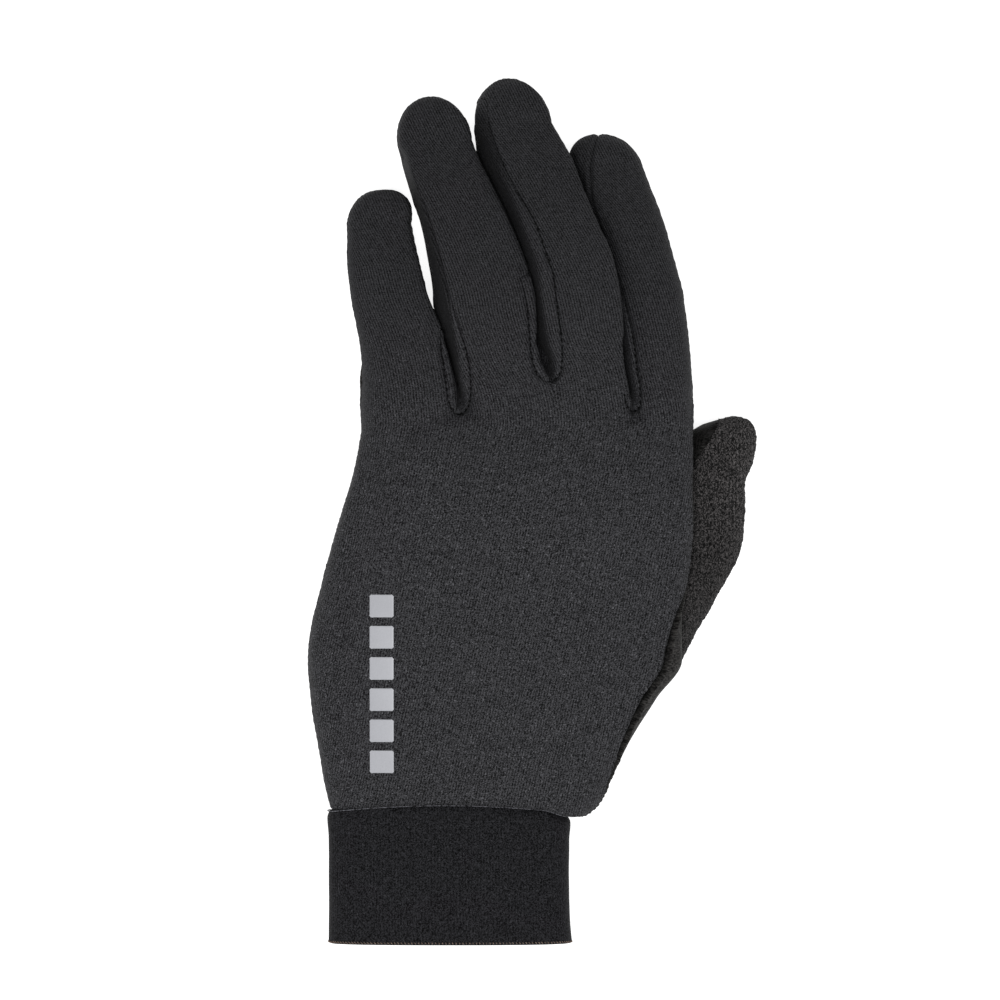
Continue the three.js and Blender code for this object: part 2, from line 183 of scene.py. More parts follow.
# Up to which x the left side of a finger gets painted shade, for each of its y.
SHADES = {
    1: np.array([[28, -19.4], [36, -19.8], [45, -20.7], [50, -21.5], [58, -22.6], [70, -24.8],
                 [80, -28.0], [90, -32.2], [94, -34.6], [98, -36.8], [106, -41.0]], float),
    2: np.array([[37, 6.6], [41, 6.0], [45, 5.0], [50, 4.0], [58, 2.9], [67, 1.6], [76, -1.4],
                 [86, -4.8], [96.2, -8.0], [100.6, -9.5], [105, -11.0], [108.4, -12.0],
                 [112, -12.4]], float),
    3: np.array([[82, 12.0], [86, 15.6], [90, 16.2], [94, 16.2], [102, 17.2], [106, 18.0]], float),
}

# Where the fingers part: where along them it begins, and how far they are moved apart while the
# hand is meshed, so that neighbours don't fuse. The parting opens over a length.
PARTINGS = [(29.0, 8.0), (37.0, 8.0), (29.5, 8.0)]
PARTING_RAMP = 12.0
# The least half width of a slot between two fingers, and how far neighbours may overlap beyond the
# U seams: from which y on, over what length.
LEAST_SLOT = 0.1
OVERLAP = 2.0
OVERLAP_FROM, OVERLAP_RAMP = 46, 8
# How far a place on a finger's side is moved towards its own finger to tell which it belongs to.
FACING_SHIFT = 3.0
# How much further the cloth between the fingers reaches at the palm than at the back: from which
# height down, over what depth.
WEB_SLOPE = 20.0
WEB_TOP, WEB_DEPTH = 29.0, 16.0
# Up to which y the palm's form is worked out, and how far round a finger its own form is.
PALM_REACH = 68
BEFORE_FINGER, BESIDE_FINGER = 9, 5
FAR_AWAY = 50.0
# How far from the surface the cloth's unevenness is still worked out.
SURFACE_NEAR = 2.0

# Sections of the thumb: y, left, right, top, bottom.
THUMB = np.array([
    [-62, 4.0, 24.0, 22.0, 3.0],
    [-52, 11.6, 32.0, 23.5, 1.0],
    [-41, 19.2, 41.6, 23.6, -0.4],
    [-30, 25.6, 47.8, 22.3, -0.4],
    [-19, 31.6, 54.1, 20.0, -0.4],
    [-11, 35.4, 58.2, 18.2, -0.4],
    [-5, 37.8, 59.4, 17.2, -0.4],
    [2, 39.6, 59.3, 16.6, -0.4],
    [8, 40.2, 59.7, 16.4, -0.4],
    [13, 40.8, 61.4, 16.6, -0.4],
    [18, 41.8, 62.3, 16.8, -0.4],
], float)
THUMB_CAP = 8.6
THUMB_END_ROUND = 3.2
THUMB_SECTION_ROUND = 2.3
# How much lower the thumb's tip ends for each millimetre towards the hand, left of which x.
THUMB_TIP_SLANT = 0.27
THUMB_SLANT_FROM = 56.0
# Where the thumb's inner seam runs round its section, for each y: degrees from the right side.
THUMB_SEAM = np.array([[-62, 150], [4, 150], [9, 138], [14.7, 127], [18, 115], [21, 106],
                       [25, 94], [27, 90]], float)
THUMB_OUTER_SEAM = -68.0
# Half the slit between the thumb's two panels, in degrees round its section.
THUMB_SLIT = 0.35
# How deep the thumb reaches into the hole in the palm, and how far off the hand its panels end.
THUMB_HOLE = -0.7
THUMB_FOOT = 0.1

# Sections of the cuff: y, left, right, top, bottom.
CUFF = np.array([
    [-120.0, -56.4, 11.4, 26.0, -0.6],
    [-113.0, -56.3, 10.9, 26.2, -0.6],
    [-104.0, -56.3, 10.6, 26.1, -0.6],
    [-96.0, -56.2, 10.3, 26.0, -0.6],
    [-90.0, -56.3, 10.3, 25.8, -0.6],
    [-84.5, -56.7, 10.8, 25.6, -0.6],
    [-80.0, -56.2, 9.4, 24.9, -0.4],
])
CUFF_SECTION_ROUND = 2.5
# The y between which the cuff's sections are taken, and that of the finished hem.
CUFF_TOP, CUFF_END = -82.6, -119.1
HEM_Y = -118.95
# The length that the hem's turn and the drawn in top edge are measured by.
CUFF_LENGTH, CUFF_SHOWN = 37, 36
# The x and z of the cuff's middle.
CUFF_MIDDLE = (-22.6, 12.7)
# The wrist's seam is a slight arc over the top: its y below, how much higher and how bent it is on
# top, how much lower it ends at the thumb's side, and where the top and that side begin.
WRIST_Y = -83.0
WRIST_RISE, WRIST_BEND = 1.7, 2.2
WRIST_CENTRE, WRIST_HALF_WIDTH = -24, 34
WRIST_CORNER = 1.4
WRIST_SIDE, WRIST_SIDE_RAMP = 10, 10
WRIST_CORNER_FROM, WRIST_CORNER_RAMP = 3, 8
# Everything that lies on the floor keeps this height above it, and bends up softly.
FLOOR_GAP = 0.02
FLOOR_ROUNDING = 1.0
FLOOR_SOFTNESS = 0.05
# Each strip's seam in plan: down the right side of a finger, round the U, up the next finger.
STRIP_SEAMS = [
    [(-37.0, 87.0), (-37.4, 80), (-34.0, 70), (-29.0, 60), (-26.3, 54.4), (-25.3, 50.2),
     (-25.0, 45.0), (-24.1, 39.2), (-23.3, 33.6), (-22.6, 29.6), (-21.4, 27.6), (-20.1, 27.0),
     (-18.4, 27.8), (-17.3, 29.9), (-16.9, 33.5), (-17.1, 38.5), (-18.2, 44.5), (-19.9, 50.5),
     (-22.9, 60), (-25.3, 70.2), (-28.2, 80), (-31.6, 90), (-33.4, 96), (-34.4, 101),
     (-34.6, 107)],
    [(-21.0, 109), (-21.6, 103), (-19.2, 97), (-16.0, 90), (-11.8, 80), (-6.6, 70),
     (-3.1, 64.5), (-1.5, 58.5), (-0.6, 50.2), (-0.2, 44.7), (0.6, 40.3), (2.0, 37.3),
     (4.3, 35.9), (6.8, 36.7), (8.1, 39.6), (8.4, 44.5), (7.9, 50), (6.7, 59), (6.0, 64.9),
     (3.7, 72.1), (0.9, 80), (-4.9, 90), (-8.5, 98), (-10.7, 104), (-11.9, 108.4),
     (-12.4, 114)],
    [(1.4, 113.5), (1.8, 108), (4.2, 104), (7.4, 98), (10.6, 90), (14.6, 80), (18.8, 70),
     (20.6, 60), (21.9, 50), (23.6, 40), (25.0, 34.5), (25.9, 30.6), (26.8, 28.4),
     (27.9, 27.6), (29.0, 28.0), (29.8, 29.8), (29.8, 33), (29.0, 38.6), (28.3, 45),
     (26.8, 52.7), (24.0, 63.8), (21.4, 72), (18.6, 80), (16.5, 87), (16.2, 94),
     (17.6, 102.0), (19.0, 106)],
]

# Points through the free space beyond the fingertips, which close each strip's outline.
STRIP_CLOSINGS = [
    [(-40.0, 112), (-43.0, 101), (-38.5, 91.5)],
    [(-19.5, 117), (-20.0, 113)],
    [(12.0, 107), (8.0, 114)],
]

# A seam that stays in sight: its height is above the glove everywhere.
NO_HIDDEN_SEAM = np.array([[120, 40], [121, 40]], float)
# Where a strip's seam runs down onto the side of a finger and out of sight: for each strip its
# left and right finger, y and the seam's height.
STRIP_TOPS = [
    (np.array([[50, 40], [56, 25], [62, 17], [70, 13.5], [80, 10.5], [90, 9]], float),
     np.array([[90, 40], [95, 22], [100, 9], [105, 6], [112, 5]], float)),
    (np.array([[60, 40], [65, 29], [70, 22.5], [80, 19.5], [90, 16.5], [97, 14], [103, 12],
               [112, 10]], float),
     NO_HIDDEN_SEAM),
    (np.array([[29, 40], [32, 31], [35, 26.5], [40, 25.5], [50, 25.5], [60, 25], [70, 23.5],
               [80, 21], [90, 18], [98, 15], [104, 12.5], [112, 10.5]], float),
     NO_HIDDEN_SEAM),
]

# Up to which y each strip's left and right seam shows its stitches.
STITCHED_TO = [(47.0, 50.0), (58.0, 89.0), (33.0, 50.0)]
# Stitches end this far from a finger's outline, but for those below a y.
STITCH_MARGIN = 0.9
UNHIDDEN_BELOW = 42
# Stretches where a seam lies flat and leaves no hollow: its strips, up to which x, and the y
# between which they lie.
FLAT_SEAMS = [((0, 1, 2), -24.6, 46, 62), ((1,), 60.0, 108, 130), ((0,), -28.0, 86, 130)]
# The mesh is cut beside each seam too, at these distances.
BESIDE_SEAM = (0.55, 1.1, 1.7)
# Heights of the seams between the back and the palm along the hand's two edges.
EDGE_SEAM = np.array([
    [-90.0, 12.0, 12.0],
    [-82.5, 12.0, 13.0],
    [-74.0, 13.0, 18.0],
    [-63.0, 14.0, 23.0],
    [-52.0, 15.0, 27.0],
    [-41.0, 15.0, 29.0],
    [-30.0, 15.5, 27.2],
    [-16.0, 16.0, 21.5],
    [0.0, 16.5, 24.5],
    [14.0, 17.0, 23.5],
    [24.0, 18.5, 22.5],
])

# From which y on the seam follows the fingers instead of the palm, and over what length.
FINGER_SEAM_FROM, FINGER_SEAM_RAMP = 24, 8
# The seam beside the thumb: its depth and half width, how strong and how wide the painted shadow
# beside its puckers is, and how uneven that is.
THUMB_SEAM_DEPTH, THUMB_SEAM_WIDTH = 0.6, 0.9
THUMB_SEAM_SHADOW, THUMB_SHADOW_REACH = 2.6, 1.7
RAGGED, RAGGED_SIZE = 0.8, 1.6
# How far the darkness at a seam reaches: partly a dark needle line, partly painted shade in its
# hollow.
SEAM_REACH = 0.4

# Soft folds of the back: depth, half width, and the line that each runs along as (y, x).
FOLDS = [
    (1.3, 4.5, np.array([[-75, -50.0], [-46, -51.5], [-30, -51.2], [-13, -49.0], [3, -44.5],
                         [16, -41.5], [28, -40.5]], float)),
    (0.9, 1.4, np.array([[-62, -57.0], [-52, -56.3], [-30, -51.6], [-13, -51.1], [3, -47.5],
                          [17, -46.1]], float)),
    (1.0, 4.0, np.array([[-79, 4], [-72, 8], [-62, 14], [-52, 22]], float)),
]

# Over what length a fold fades out at its ends.
FOLD_END = 8.0
# Unevenness of cloth that is filled and lies loose: how deep, and how long its waves are.
BROAD_RUMPLE, FINE_RUMPLE = (0.28, 13.0), (0.10, 5.0)
# How a seam draws the cloth in. The hollow and the swelling beside it are measured in half widths
# of the hollow, and both change with every stitch and with the cloth's unevenness.
HOLLOW_REACH, HOLLOW_FALL = 3.2, 1.6
HOLLOW_LEAST, HOLLOW_AT_STITCH = 0.75, 0.35
SWELLING_AT, SWELLING_WIDTH = 1.7, 0.7
SWELLING, SWELLING_UNEVEN = 0.4, 0.25
SWELLING_MOST, SWELLING_AT_STITCH = 1.3, 0.7
STITCH_SLANT, STITCH_UNEVEN, UNEVEN_SIZE = 1.2, 1.5, 3.0

# Painted shade in the slots between the fingers: how far below each finger's top it begins, over
# what height it deepens, and how much of it the middle finger's right side gets.
DARK_BELOW = (7.5, 7.5, 7.5, 9.0)
DARK_RAMP = 3.0
MIDDLE_RIGHT_DARK = 0.5
# The painted shade's edge is sharp at the U seams and softer halfway along the fingers.
EDGE_SHARP, EDGE_SOFTER = 1.2, 0.06
SOFTER_FROM, SOFTER_TO, SOFTEST_AFTER = 50, 104, 30
# Where the middle finger's painted shade ends, and how it deepens along the finger.
SHADE_END, SHADE_FADE = 108, 5
MIDDLE_SHADE, MIDDLE_SHADE_FROM, MIDDLE_SHADE_RAMP = 0.6, 60, 20
# The index finger's painted shade is faint, and below a y its side is painted lighter instead.
INDEX_SHADE = 0.3
INDEX_LIGHTER, INDEX_LIGHTER_TO, INDEX_LIGHTER_RAMP = 0.5, 76, 8

# How far the wales lean aside for each millimetre along each finger, from a y on. The wales of a
# finger are counted from its place at another y, and those of the palm give way to them over a
# length. Near the tip they lean more and close over it.
WALE_LEANS = (0.1, 0.14, 0.14, 0.15)
WALES_FROM, WALES_START = 24, 26.0
PALM_WALES_TO, PALM_WALES_RAMP = 14, 20
TIP_CLOSE, TIP_CLOSE_RAMP = 6, 8
TIP_WALE_LEAN, TIP_WALE_LENGTH = 0.35, 12
PALM_WALE_LEAN = 0.23
# The courses lie this much closer than the plan says, the pattern changes a little with height, and
# more wales go onto a finger's sides, from this far below its top on.
COURSE_STRETCH = 1.05
KNIT_HEIGHT = 0.35
SIDE_STRETCH, SIDE_BELOW = 0.5, 3


# Settings


def millimetres(name, value, description):
    return bpy.props.FloatProperty(
        name=name, description=description, default=value * MM, unit="LENGTH", min=0.0,
        precision=5,
    )


def colour(name, rgb, description):
    """A colour setting from sRGB values of 0 to 255."""
    linear = [c / 255 / 12.92 if c / 255 <= 0.04045 else ((c / 255 + 0.055) / 1.055) ** 2.4
              for c in rgb]
    return bpy.props.FloatVectorProperty(
        name=name, description=description, default=linear, size=3, subtype="COLOR", min=0.0,
        max=1.0,
    )


class GloveSizes(bpy.types.PropertyGroup):
    cell: millimetres("Mesh spacing", 0.92, "Distance between the points of the hand's form")
    wall: millimetres("Jersey", 1.4, "Thickness of the jersey")
    cuff_wall: millimetres("Cuff", 1.8, "Thickness of the doubled cuff")
    seam_gap: millimetres("Seam slit", 0.16, "Slit between two panels that are sewn together")
    seam_depth: millimetres("Seam depth", 0.4, "How far a seam is drawn in")
    seam_width: millimetres("Seam width", 0.75, "Half the width of the hollow along a seam")
    stitch: millimetres("Stitch length", 1.9, "Length of one stitch and its space")
    thread: millimetres("Thread", 0.22, "Radius of the seam thread")
    hem_stitch: millimetres("Hem stitch spacing", 0.93, "Distance between the hem's stitches")
    hem_thread: millimetres("Hem thread", 0.12, "Radius of the hem thread")


class GloveColours(bpy.types.PropertyGroup):
    back: colour("Back", (47.5, 47.5, 49.5), "Jersey of the back of the hand")
    palm: colour("Palm", (40, 39, 38), "Jersey of the palm")
    # The back's jersey, painted a little lighter: painted light in place of the sheen that the
    # strips lack.
    strip: colour("Strips", (49, 49, 51), "Jersey between the fingers")
    towelling: colour("Towelling", (58, 56, 56), "Looped cloth of the thumb")
    cuff: colour("Cuff", (29.5, 29.5, 31.5), "Elastic knit of the cuff")
    thread: colour("Seam thread", (9, 9, 9), "Thread of the seams")
    hem: colour("Hem thread", (112, 96, 86), "Thread of the hem")
    reflective: colour("Reflective", (160, 161, 166), "Reflective bars")


class GloveStage(bpy.types.PropertyGroup):
    floor: colour("Floor", (205, 205, 205), "Pale floor")
    glow: bpy.props.FloatProperty(
        name="Glow", description="Light that comes through the floor, as from a light table",
        default=0.8, min=0.0,
    )
    light: bpy.props.FloatProperty(
        name="Light", description="Power of the main soft light", default=46.0, min=0.0,
        unit="POWER",
    )


def sizes():
    return bpy.context.scene.glove_sizes


def colours():
    return bpy.context.scene.glove_colours


# Form


def column_values(table, y):
    """The columns of a table at the heights y, smoothly between its rows and without overshoot."""
    places, values = table[:, 0], table[:, 1:]
    span = np.diff(places)[:, None]
    slope = np.diff(values, axis=0) / span
    tangent = np.empty_like(values)
    tangent[0], tangent[-1] = slope[0], slope[-1]
    same = slope[:-1] * slope[1:] > 0
    a, b = np.where(same, slope[:-1], 1.0), np.where(same, slope[1:], 1.0)
    w1, w2 = 2 * span[1:] + span[:-1], span[1:] + 2 * span[:-1]
    tangent[1:-1] = np.where(same, (w1 + w2) / (w1 / a + w2 / b), 0.0)
    y = np.clip(y, places[0], places[-1])
    k = np.clip(np.searchsorted(places, y, side="right") - 1, 0, len(places) - 2)
    h = places[k + 1] - places[k]
    t = (y - places[k]) / h
    t, h = t[..., None], h[..., None]
    return (
        (2 * t**3 - 3 * t**2 + 1) * values[k]
        + (t**3 - 2 * t**2 + t) * h * tangent[k]
        + (3 * t**2 - 2 * t**3) * values[k + 1]
        + (t**3 - t**2) * h * tangent[k + 1]
    )


def row_at(table, y):
    """One row of a table, at the height y."""
    return column_values(table, np.array([y]))[0]


def smooth_step(t):
    t = np.clip(t, 0.0, 1.0)
    return t * t * (3 - 2 * t)


def soft_positive(t):
    """About t where it is positive, and a little above 0 below that."""
    return 0.5 * (t + np.sqrt(t**2 + FLOOR_SOFTNESS))


def soft_min(a, b, k):
    """The lesser of two values, rounded over where they differ by less than k."""
    h = np.maximum(k - np.abs(a - b), 0.0) / k
    return np.minimum(a, b) - h * h * k / 4


def tube_distance(x, y, z, table, cap, tip_round, roundness, roll=None, lean=0.0, reach=0.0):
    """Rough distance in millimetres to a tube of superellipse sections with a rounded end."""
    first, last = table[0, 0], table[-1, 0]
    rows = column_values(table, y)
    left, right, top, bottom = (rows[..., i] for i in range(4))
    middle = (top + bottom) / 2
    if roll is None:
        mid_left, mid_right = rows[..., 4], rows[..., 5]
    else:
        rise = (top - bottom) / 2
        mid_left, mid_right = middle + rise * roll[0], middle + rise * roll[1]
    past = np.maximum(0.0, y - last - reach)
    before = 0.0 if roll is None else np.maximum(0.0, first - y)
    cx = (left + right) / 2 + lean * past
    u = (x - cx) / ((right - left) / 2)
    if isinstance(roundness, tuple):
        # From the left side's roundness to the right side's, over the middle of the section.
        roundness = roundness[0] + (roundness[1] - roundness[0]) * smooth_step(0.5 + 2 * u)
    share = np.clip((1 + u) / 2, 0.0, 1.0)
    mid = mid_left * (1 - share) + mid_right * share
    v = np.abs(z - mid) / np.where(z > mid, top - mid, mid - bottom)
    section = (np.abs(u) ** roundness + v**roundness) ** (tip_round / roundness)
    ends = (past / cap) ** tip_round, (before / START_CAP) ** tip_round
    r = (section + ends[0] + ends[1]) ** (1 / tip_round)
    radius = np.sqrt((x - cx) ** 2 + (z - mid) ** 2 + past**2 + before**2)
    return (r - 1) * radius / np.maximum(r, 1e-3)


def fold_depth(x, y):
    """How deep the soft folds of the back are at places in plan."""
    total = 0.0 * x
    for depth, half_width, line in FOLDS:
        centre = column_values(line, y)[..., 0]
        ends = smooth_step((y - line[0, 0]) / FOLD_END + 0.5)
        ends = ends * smooth_step((line[-1, 0] - y) / FOLD_END + 0.5)
        total = total + depth * ends * np.exp(-(((x - centre) / half_width) ** 2))
    return total


# The corners of a cell of a grid.
CORNERS = tuple(itertools.product((0, 1), repeat=3))
# Large numbers that mix the cell, the seed and the bits of a random value.
CELL_FACTORS = (73856093, 19349663, 83492791)
SEED_FACTOR = 2654435761
BIT_FACTOR = 0x45D9F3B
HALF_RANGE = 2147483648.0


def lumps(x, y, z, size, seed=0):
    """Smooth random unevenness between -1 and 1, with bumps of about the given size."""
    scaled = [np.asarray(c, float) / size for c in (x, y, z)]
    whole = [np.floor(c).astype(np.int64) for c in scaled]
    ease = [smooth_step(c - w) for c, w in zip(scaled, whole)]
    total = 0.0
    for corner in CORNERS:
        mixed, weight = seed * SEED_FACTOR, 1.0
        for axis, factor in enumerate(CELL_FACTORS):
            mixed = mixed ^ ((whole[axis] + corner[axis]) * factor)
            weight = weight * (ease[axis] if corner[axis] else 1 - ease[axis])
        mixed = mixed & 0xFFFFFFFF
        for _ in range(2):
            mixed = ((mixed ^ (mixed >> 16)) * BIT_FACTOR) & 0xFFFFFFFF
        mixed = mixed ^ (mixed >> 16)
        total = total + weight * (mixed / HALF_RANGE - 1.0)
    return total


def rumple(x, y, z):
    """Slight unevenness of cloth that is filled and lies loose, in millimetres."""
    (broad, broad_size), (fine, fine_size) = BROAD_RUMPLE, FINE_RUMPLE
    return broad * lumps(x, y * 0.7, z, broad_size, 1) + fine * lumps(x, y * 0.8, z, fine_size, 2)


def hand_distance(x, y, z):
    top = column_values(HAND, y)[..., 2]
    raised = smooth_step((z - top * FOLDED_SIDE[0]) / (top * FOLDED_SIDE[1]))
    folded = z + fold_depth(x, y) * raised
    far, place, width = HAND_TONGUE
    tongue = far * np.exp(-(((x - place) / width) ** 2))
    tongue = tongue + WEB_SLOPE * smooth_step((WEB_TOP - z) / WEB_DEPTH)
    return tube_distance(x, y, folded, HAND, HAND_CAP, HAND_END_ROUND, HAND_SECTION_ROUND,
                         reach=tongue)


def finger_distance(k, x, y, z):
    square = smooth_step((y - SQUARE_FROM) / SQUARE_RAMP)
    roundness = (FINGER_SECTION_ROUND + SHOULDER_SQUARE * square * (k in SHOULDERS),
                 FINGER_SECTION_ROUND + FACING_SQUARE * square * (k < INDEX_FINGER))
    distance = tube_distance(x, y, z, FINGERS[k], FINGER_CAPS[k], FINGER_TIP_ROUNDS[k],
                             roundness, FINGER_ROLLS[k], FINGER_LEANS[k])
    if k not in SHOULDERS:
        return distance
    table = SHOULDERS[k]
    rows = column_values(FINGERS[k], y)
    edge, top, bottom = rows[..., 0], rows[..., 2], rows[..., 3]
    foot = (top + bottom) / 2 + FINGER_ROLLS[k][0] * (top - bottom) / 2
    over = column_values(table, y)[..., 0] - edge
    rise = top - SHOULDER_DROP - foot
    outside = ((z - foot) * over - (x - edge) * rise) / np.hypot(over, rise)
    begin = smooth_step((y - table[0, 0]) / SHOULDER_BEGIN)
    end = smooth_step((table[-1, 0] - y) / SHOULDER_END)
    outside = outside - SHOULDER_OFF * (1 - begin * end)
    return -soft_min(-distance, -outside, SHOULDER_ROUNDING)


def thumb_distance(x, y, z):
    return tube_distance(x, y, z, THUMB, THUMB_CAP, THUMB_END_ROUND, THUMB_SECTION_ROUND, (0, 0))


def resting(distance, z):
    """The same form, pressed flat by the floor."""
    return -soft_min(-distance, z - FLOOR_GAP, FLOOR_ROUNDING)


def finger_edges(k, y):
    """Left and right edge of a finger at the heights y, also over its rounded tip."""
    rows = column_values(FINGERS[k], y)
    past = np.maximum(0.0, y - FINGERS[k][-1, 0])
    share = np.minimum(past / FINGER_CAPS[k], 1.0)
    tip = FINGER_TIP_ROUNDS[k]
    half = (rows[..., 1] - rows[..., 0]) / 2 * (1 - share**tip) ** (1 / tip)
    centre = (rows[..., 0] + rows[..., 1]) / 2 + FINGER_LEANS[k] * past
    return centre - half, centre + half


def slot_edges(k, y):
    """The right edge of a finger and the left edge of the next one, at the heights y."""
    return finger_edges(k, y)[1], finger_edges(k + 1, y)[0]


def finger_shifts(y):
    """How far each finger is moved aside at the heights y."""
    first, second, third = (width * smooth_step((y - start) / PARTING_RAMP)
                            for start, width in PARTINGS)
    return [-second / 2 - first, -second / 2, second / 2, second / 2 + third]


def spread_of_palm(x, y):
    """How far a place of the palm, given where it is after spreading, was moved aside."""
    shifts = finger_shifts(y)
    moved = shifts[0]
    least = LEAST_SLOT - OVERLAP * smooth_step((y - OVERLAP_FROM) / OVERLAP_RAMP)
    for k in range(3):
        right, left = slot_edges(k, y)
        middle = (left + right) / 2
        half = np.maximum((left - right) / 2, least)
        start, end = middle - half + shifts[k], middle + half + shifts[k + 1]
        share = np.clip((x - start) / np.maximum(end - start, 1e-6), 0, 1)
        moved = moved + (shifts[k + 1] - shifts[k]) * share
    return moved


def spread_form(x, y, z):
    """Distance to the hand with its fingers spread."""
    distance = np.full_like(x, FAR_AWAY)
    near = y < PALM_REACH
    distance[near] = hand_distance((x - spread_of_palm(x, y))[near], y[near], z[near])
    shifts = finger_shifts(y)
    for k in range(4):
        table = FINGERS[k]
        own = x - shifts[k]
        near = (y > table[0, 0] - BEFORE_FINGER) & (own > table[:, 1].min() - BESIDE_FINGER)
        near &= own < table[:, 2].max() + BESIDE_FINGER
        finger = np.full_like(distance, FAR_AWAY)
        finger[near] = finger_distance(k, own[near], y[near], z[near])
        distance = soft_min(distance, finger, FINGER_MERGE)
    close = np.abs(distance) < SURFACE_NEAR
    distance[close] += rumple(x[close], y[close], z[close])
    return resting(distance, z)


def finger_and_palm(k, x, y, z):
    """Distance to the hand with only one of its fingers, not spread."""
    distance = soft_min(hand_distance(x, y, z), finger_distance(k, x, y, z), FINGER_MERGE)
    shifted = x + finger_shifts(y)[k]
    return resting(distance + rumple(shifted, y, z), z)


def slope_of(form, points, h=0.05):
    """Gradient of a distance at many points."""
    result = np.empty_like(points)
    for axis in range(3):
        step = np.zeros(3)
        step[axis] = h
        ahead, behind = points + step, points - step
        result[:, axis] = (form(*ahead.T) - form(*behind.T)) / (2 * h)
    return result


# No point is moved further than this at once while it settles on a surface.
LONGEST_MOVE = 0.5


def settle_on(form, points, rounds=4):
    """Moves points onto the surface where a distance is zero."""
    for _ in range(rounds):
        gradient = slope_of(form, points)
        size = np.maximum((gradient**2).sum(1), 1e-4)
        step = (form(*points.T) / size)[:, None] * gradient
        length = np.linalg.norm(step, axis=1, keepdims=True)
        points = points - step * np.minimum(1.0, LONGEST_MOVE / np.maximum(length, 1e-9))
    return points


def surface_of(form, low, high, cell):
    """Points and triangles of the surface where a distance is zero, one point in each cell.

    A point is the mean of the places where the surface crosses the cell's edges. Every edge of the
    grid that it crosses gives a square between the points of the four cells round that edge.
    """
    axes = [np.arange(a, b + cell, cell) for a, b in zip(low, high)]
    grid = np.meshgrid(*axes, indexing="ij")
    values = form(*(g.ravel() for g in grid)).reshape(grid[0].shape)
    inside = values < 0
    n = [s - 1 for s in values.shape]

    def at(array, corner):
        i, j, k = corner
        return array[i : i + n[0], j : j + n[1], k : k + n[2]]

    count = sum(at(inside, c).astype(np.int8) for c in CORNERS)
    active = (count > 0) & (count < 8)
    index = np.full(active.shape, -1, np.int64)
    index[active] = np.arange(active.sum())
    total = np.zeros((active.sum(), 3))
    crossings = np.zeros(active.sum())
    for a in CORNERS:
        for axis in range(3):
            if a[axis]:
                continue
            b = tuple(1 if i == axis else a[i] for i in range(3))
            va, vb = at(values, a)[active], at(values, b)[active]
            cross = (va < 0) != (vb < 0)
            share = np.where(cross, va / np.where(cross, va - vb, 1.0), 0.0)
            place = np.array(a, float) + share[:, None] * (np.array(b) - np.array(a))
            total += place * cross[:, None]
            crossings += cross
    base = np.argwhere(active).astype(float)
    points = (base + total / crossings[:, None]) * cell + np.array(low)
    squares = []
    for axis in range(3):
        u, v = (axis + 1) % 3, (axis + 2) % 3
        crossed = np.argwhere(np.diff(inside, axis=axis))
        # An edge on the grid's own border hasn't four cells round it.
        for i in (u, v):
            crossed = crossed[(crossed[:, i] > 0) & (crossed[:, i] < values.shape[i] - 1)]
        square = []
        for du, dv in ((1, 1), (0, 1), (0, 0), (1, 0)):
            beside = crossed.copy()
            beside[:, u] -= du
            beside[:, v] -= dv
            square.append(index[tuple(beside.T)])
        square = np.stack(square, 1)
        inward = ~inside[tuple(crossed.T)]
        square[inward] = square[inward][:, ::-1]
        squares.append(square)
    quads = np.concatenate(squares)
    quads = quads[(quads >= 0).all(1)]
    return points, np.concatenate([quads[:, [0, 1, 2]], quads[:, [0, 2, 3]]])


# Cutting


def cut_along(points, triangles, labels, value, level):
    """Splits triangles where a value per point passes a level. Returns everything updated."""
    value = value - level
    value = np.where(np.abs(value) < 1e-6, 1e-6, value)
    below = value < 0
    mixed = below[triangles].any(1) & ~below[triangles].all(1)
    kept, kept_labels = triangles[~mixed], labels[~mixed]
    cut, cut_labels = triangles[mixed], labels[mixed]
    if not len(cut):
        return points, triangles, labels, value + level
    # Turn each triangle so that its first corner is alone on its side.
    side = below[cut]
    alone = np.where(side.sum(1) == 1, side.argmax(1), (~side).argmax(1))
    rows = np.arange(len(cut))
    a, b, c = (cut[rows, (alone + i) % 3] for i in range(3))
    edges = np.concatenate([np.stack([a, b], 1), np.stack([a, c], 1)])
    edges.sort(axis=1)
    unique, inverse = np.unique(edges, axis=0, return_inverse=True)
    inverse = inverse.ravel()
    share = value[unique[:, 0]] / (value[unique[:, 0]] - value[unique[:, 1]])
    fresh = points[unique[:, 0]] + share[:, None] * (points[unique[:, 1]] - points[unique[:, 0]])
    ab = inverse[: len(cut)] + len(points)
    ac = inverse[len(cut) :] + len(points)
    pieces = [np.stack(t, 1) for t in ((a, ab, ac), (ab, b, c), (ab, c, ac))]
    triangles = np.concatenate([kept, *pieces])
    labels = np.concatenate([kept_labels, *[cut_labels] * 3])
    return (
        np.concatenate([points, fresh]),
        triangles,
        labels,
        np.concatenate([value + level, np.full(len(fresh), level)]),
    )


def lengths_along(line):
    """How far each point of a line is from its start, measured along it."""
    return np.concatenate([[0], np.cumsum(np.linalg.norm(np.diff(line, axis=0), axis=1))])


def outline_of_strip(k, step=0.6):
    """Dense outline of a strip in plan: first the seam, then the closing through free space."""
    seam = np.array(STRIP_SEAMS[k], float)
    lengths = lengths_along(seam)
    places = np.linspace(0, lengths[-1], int(lengths[-1] / step))
    dense = column_values(np.concatenate([lengths[:, None], seam], 1), places)
    return dense, np.concatenate([dense, np.array(STRIP_CLOSINGS[k], float)])


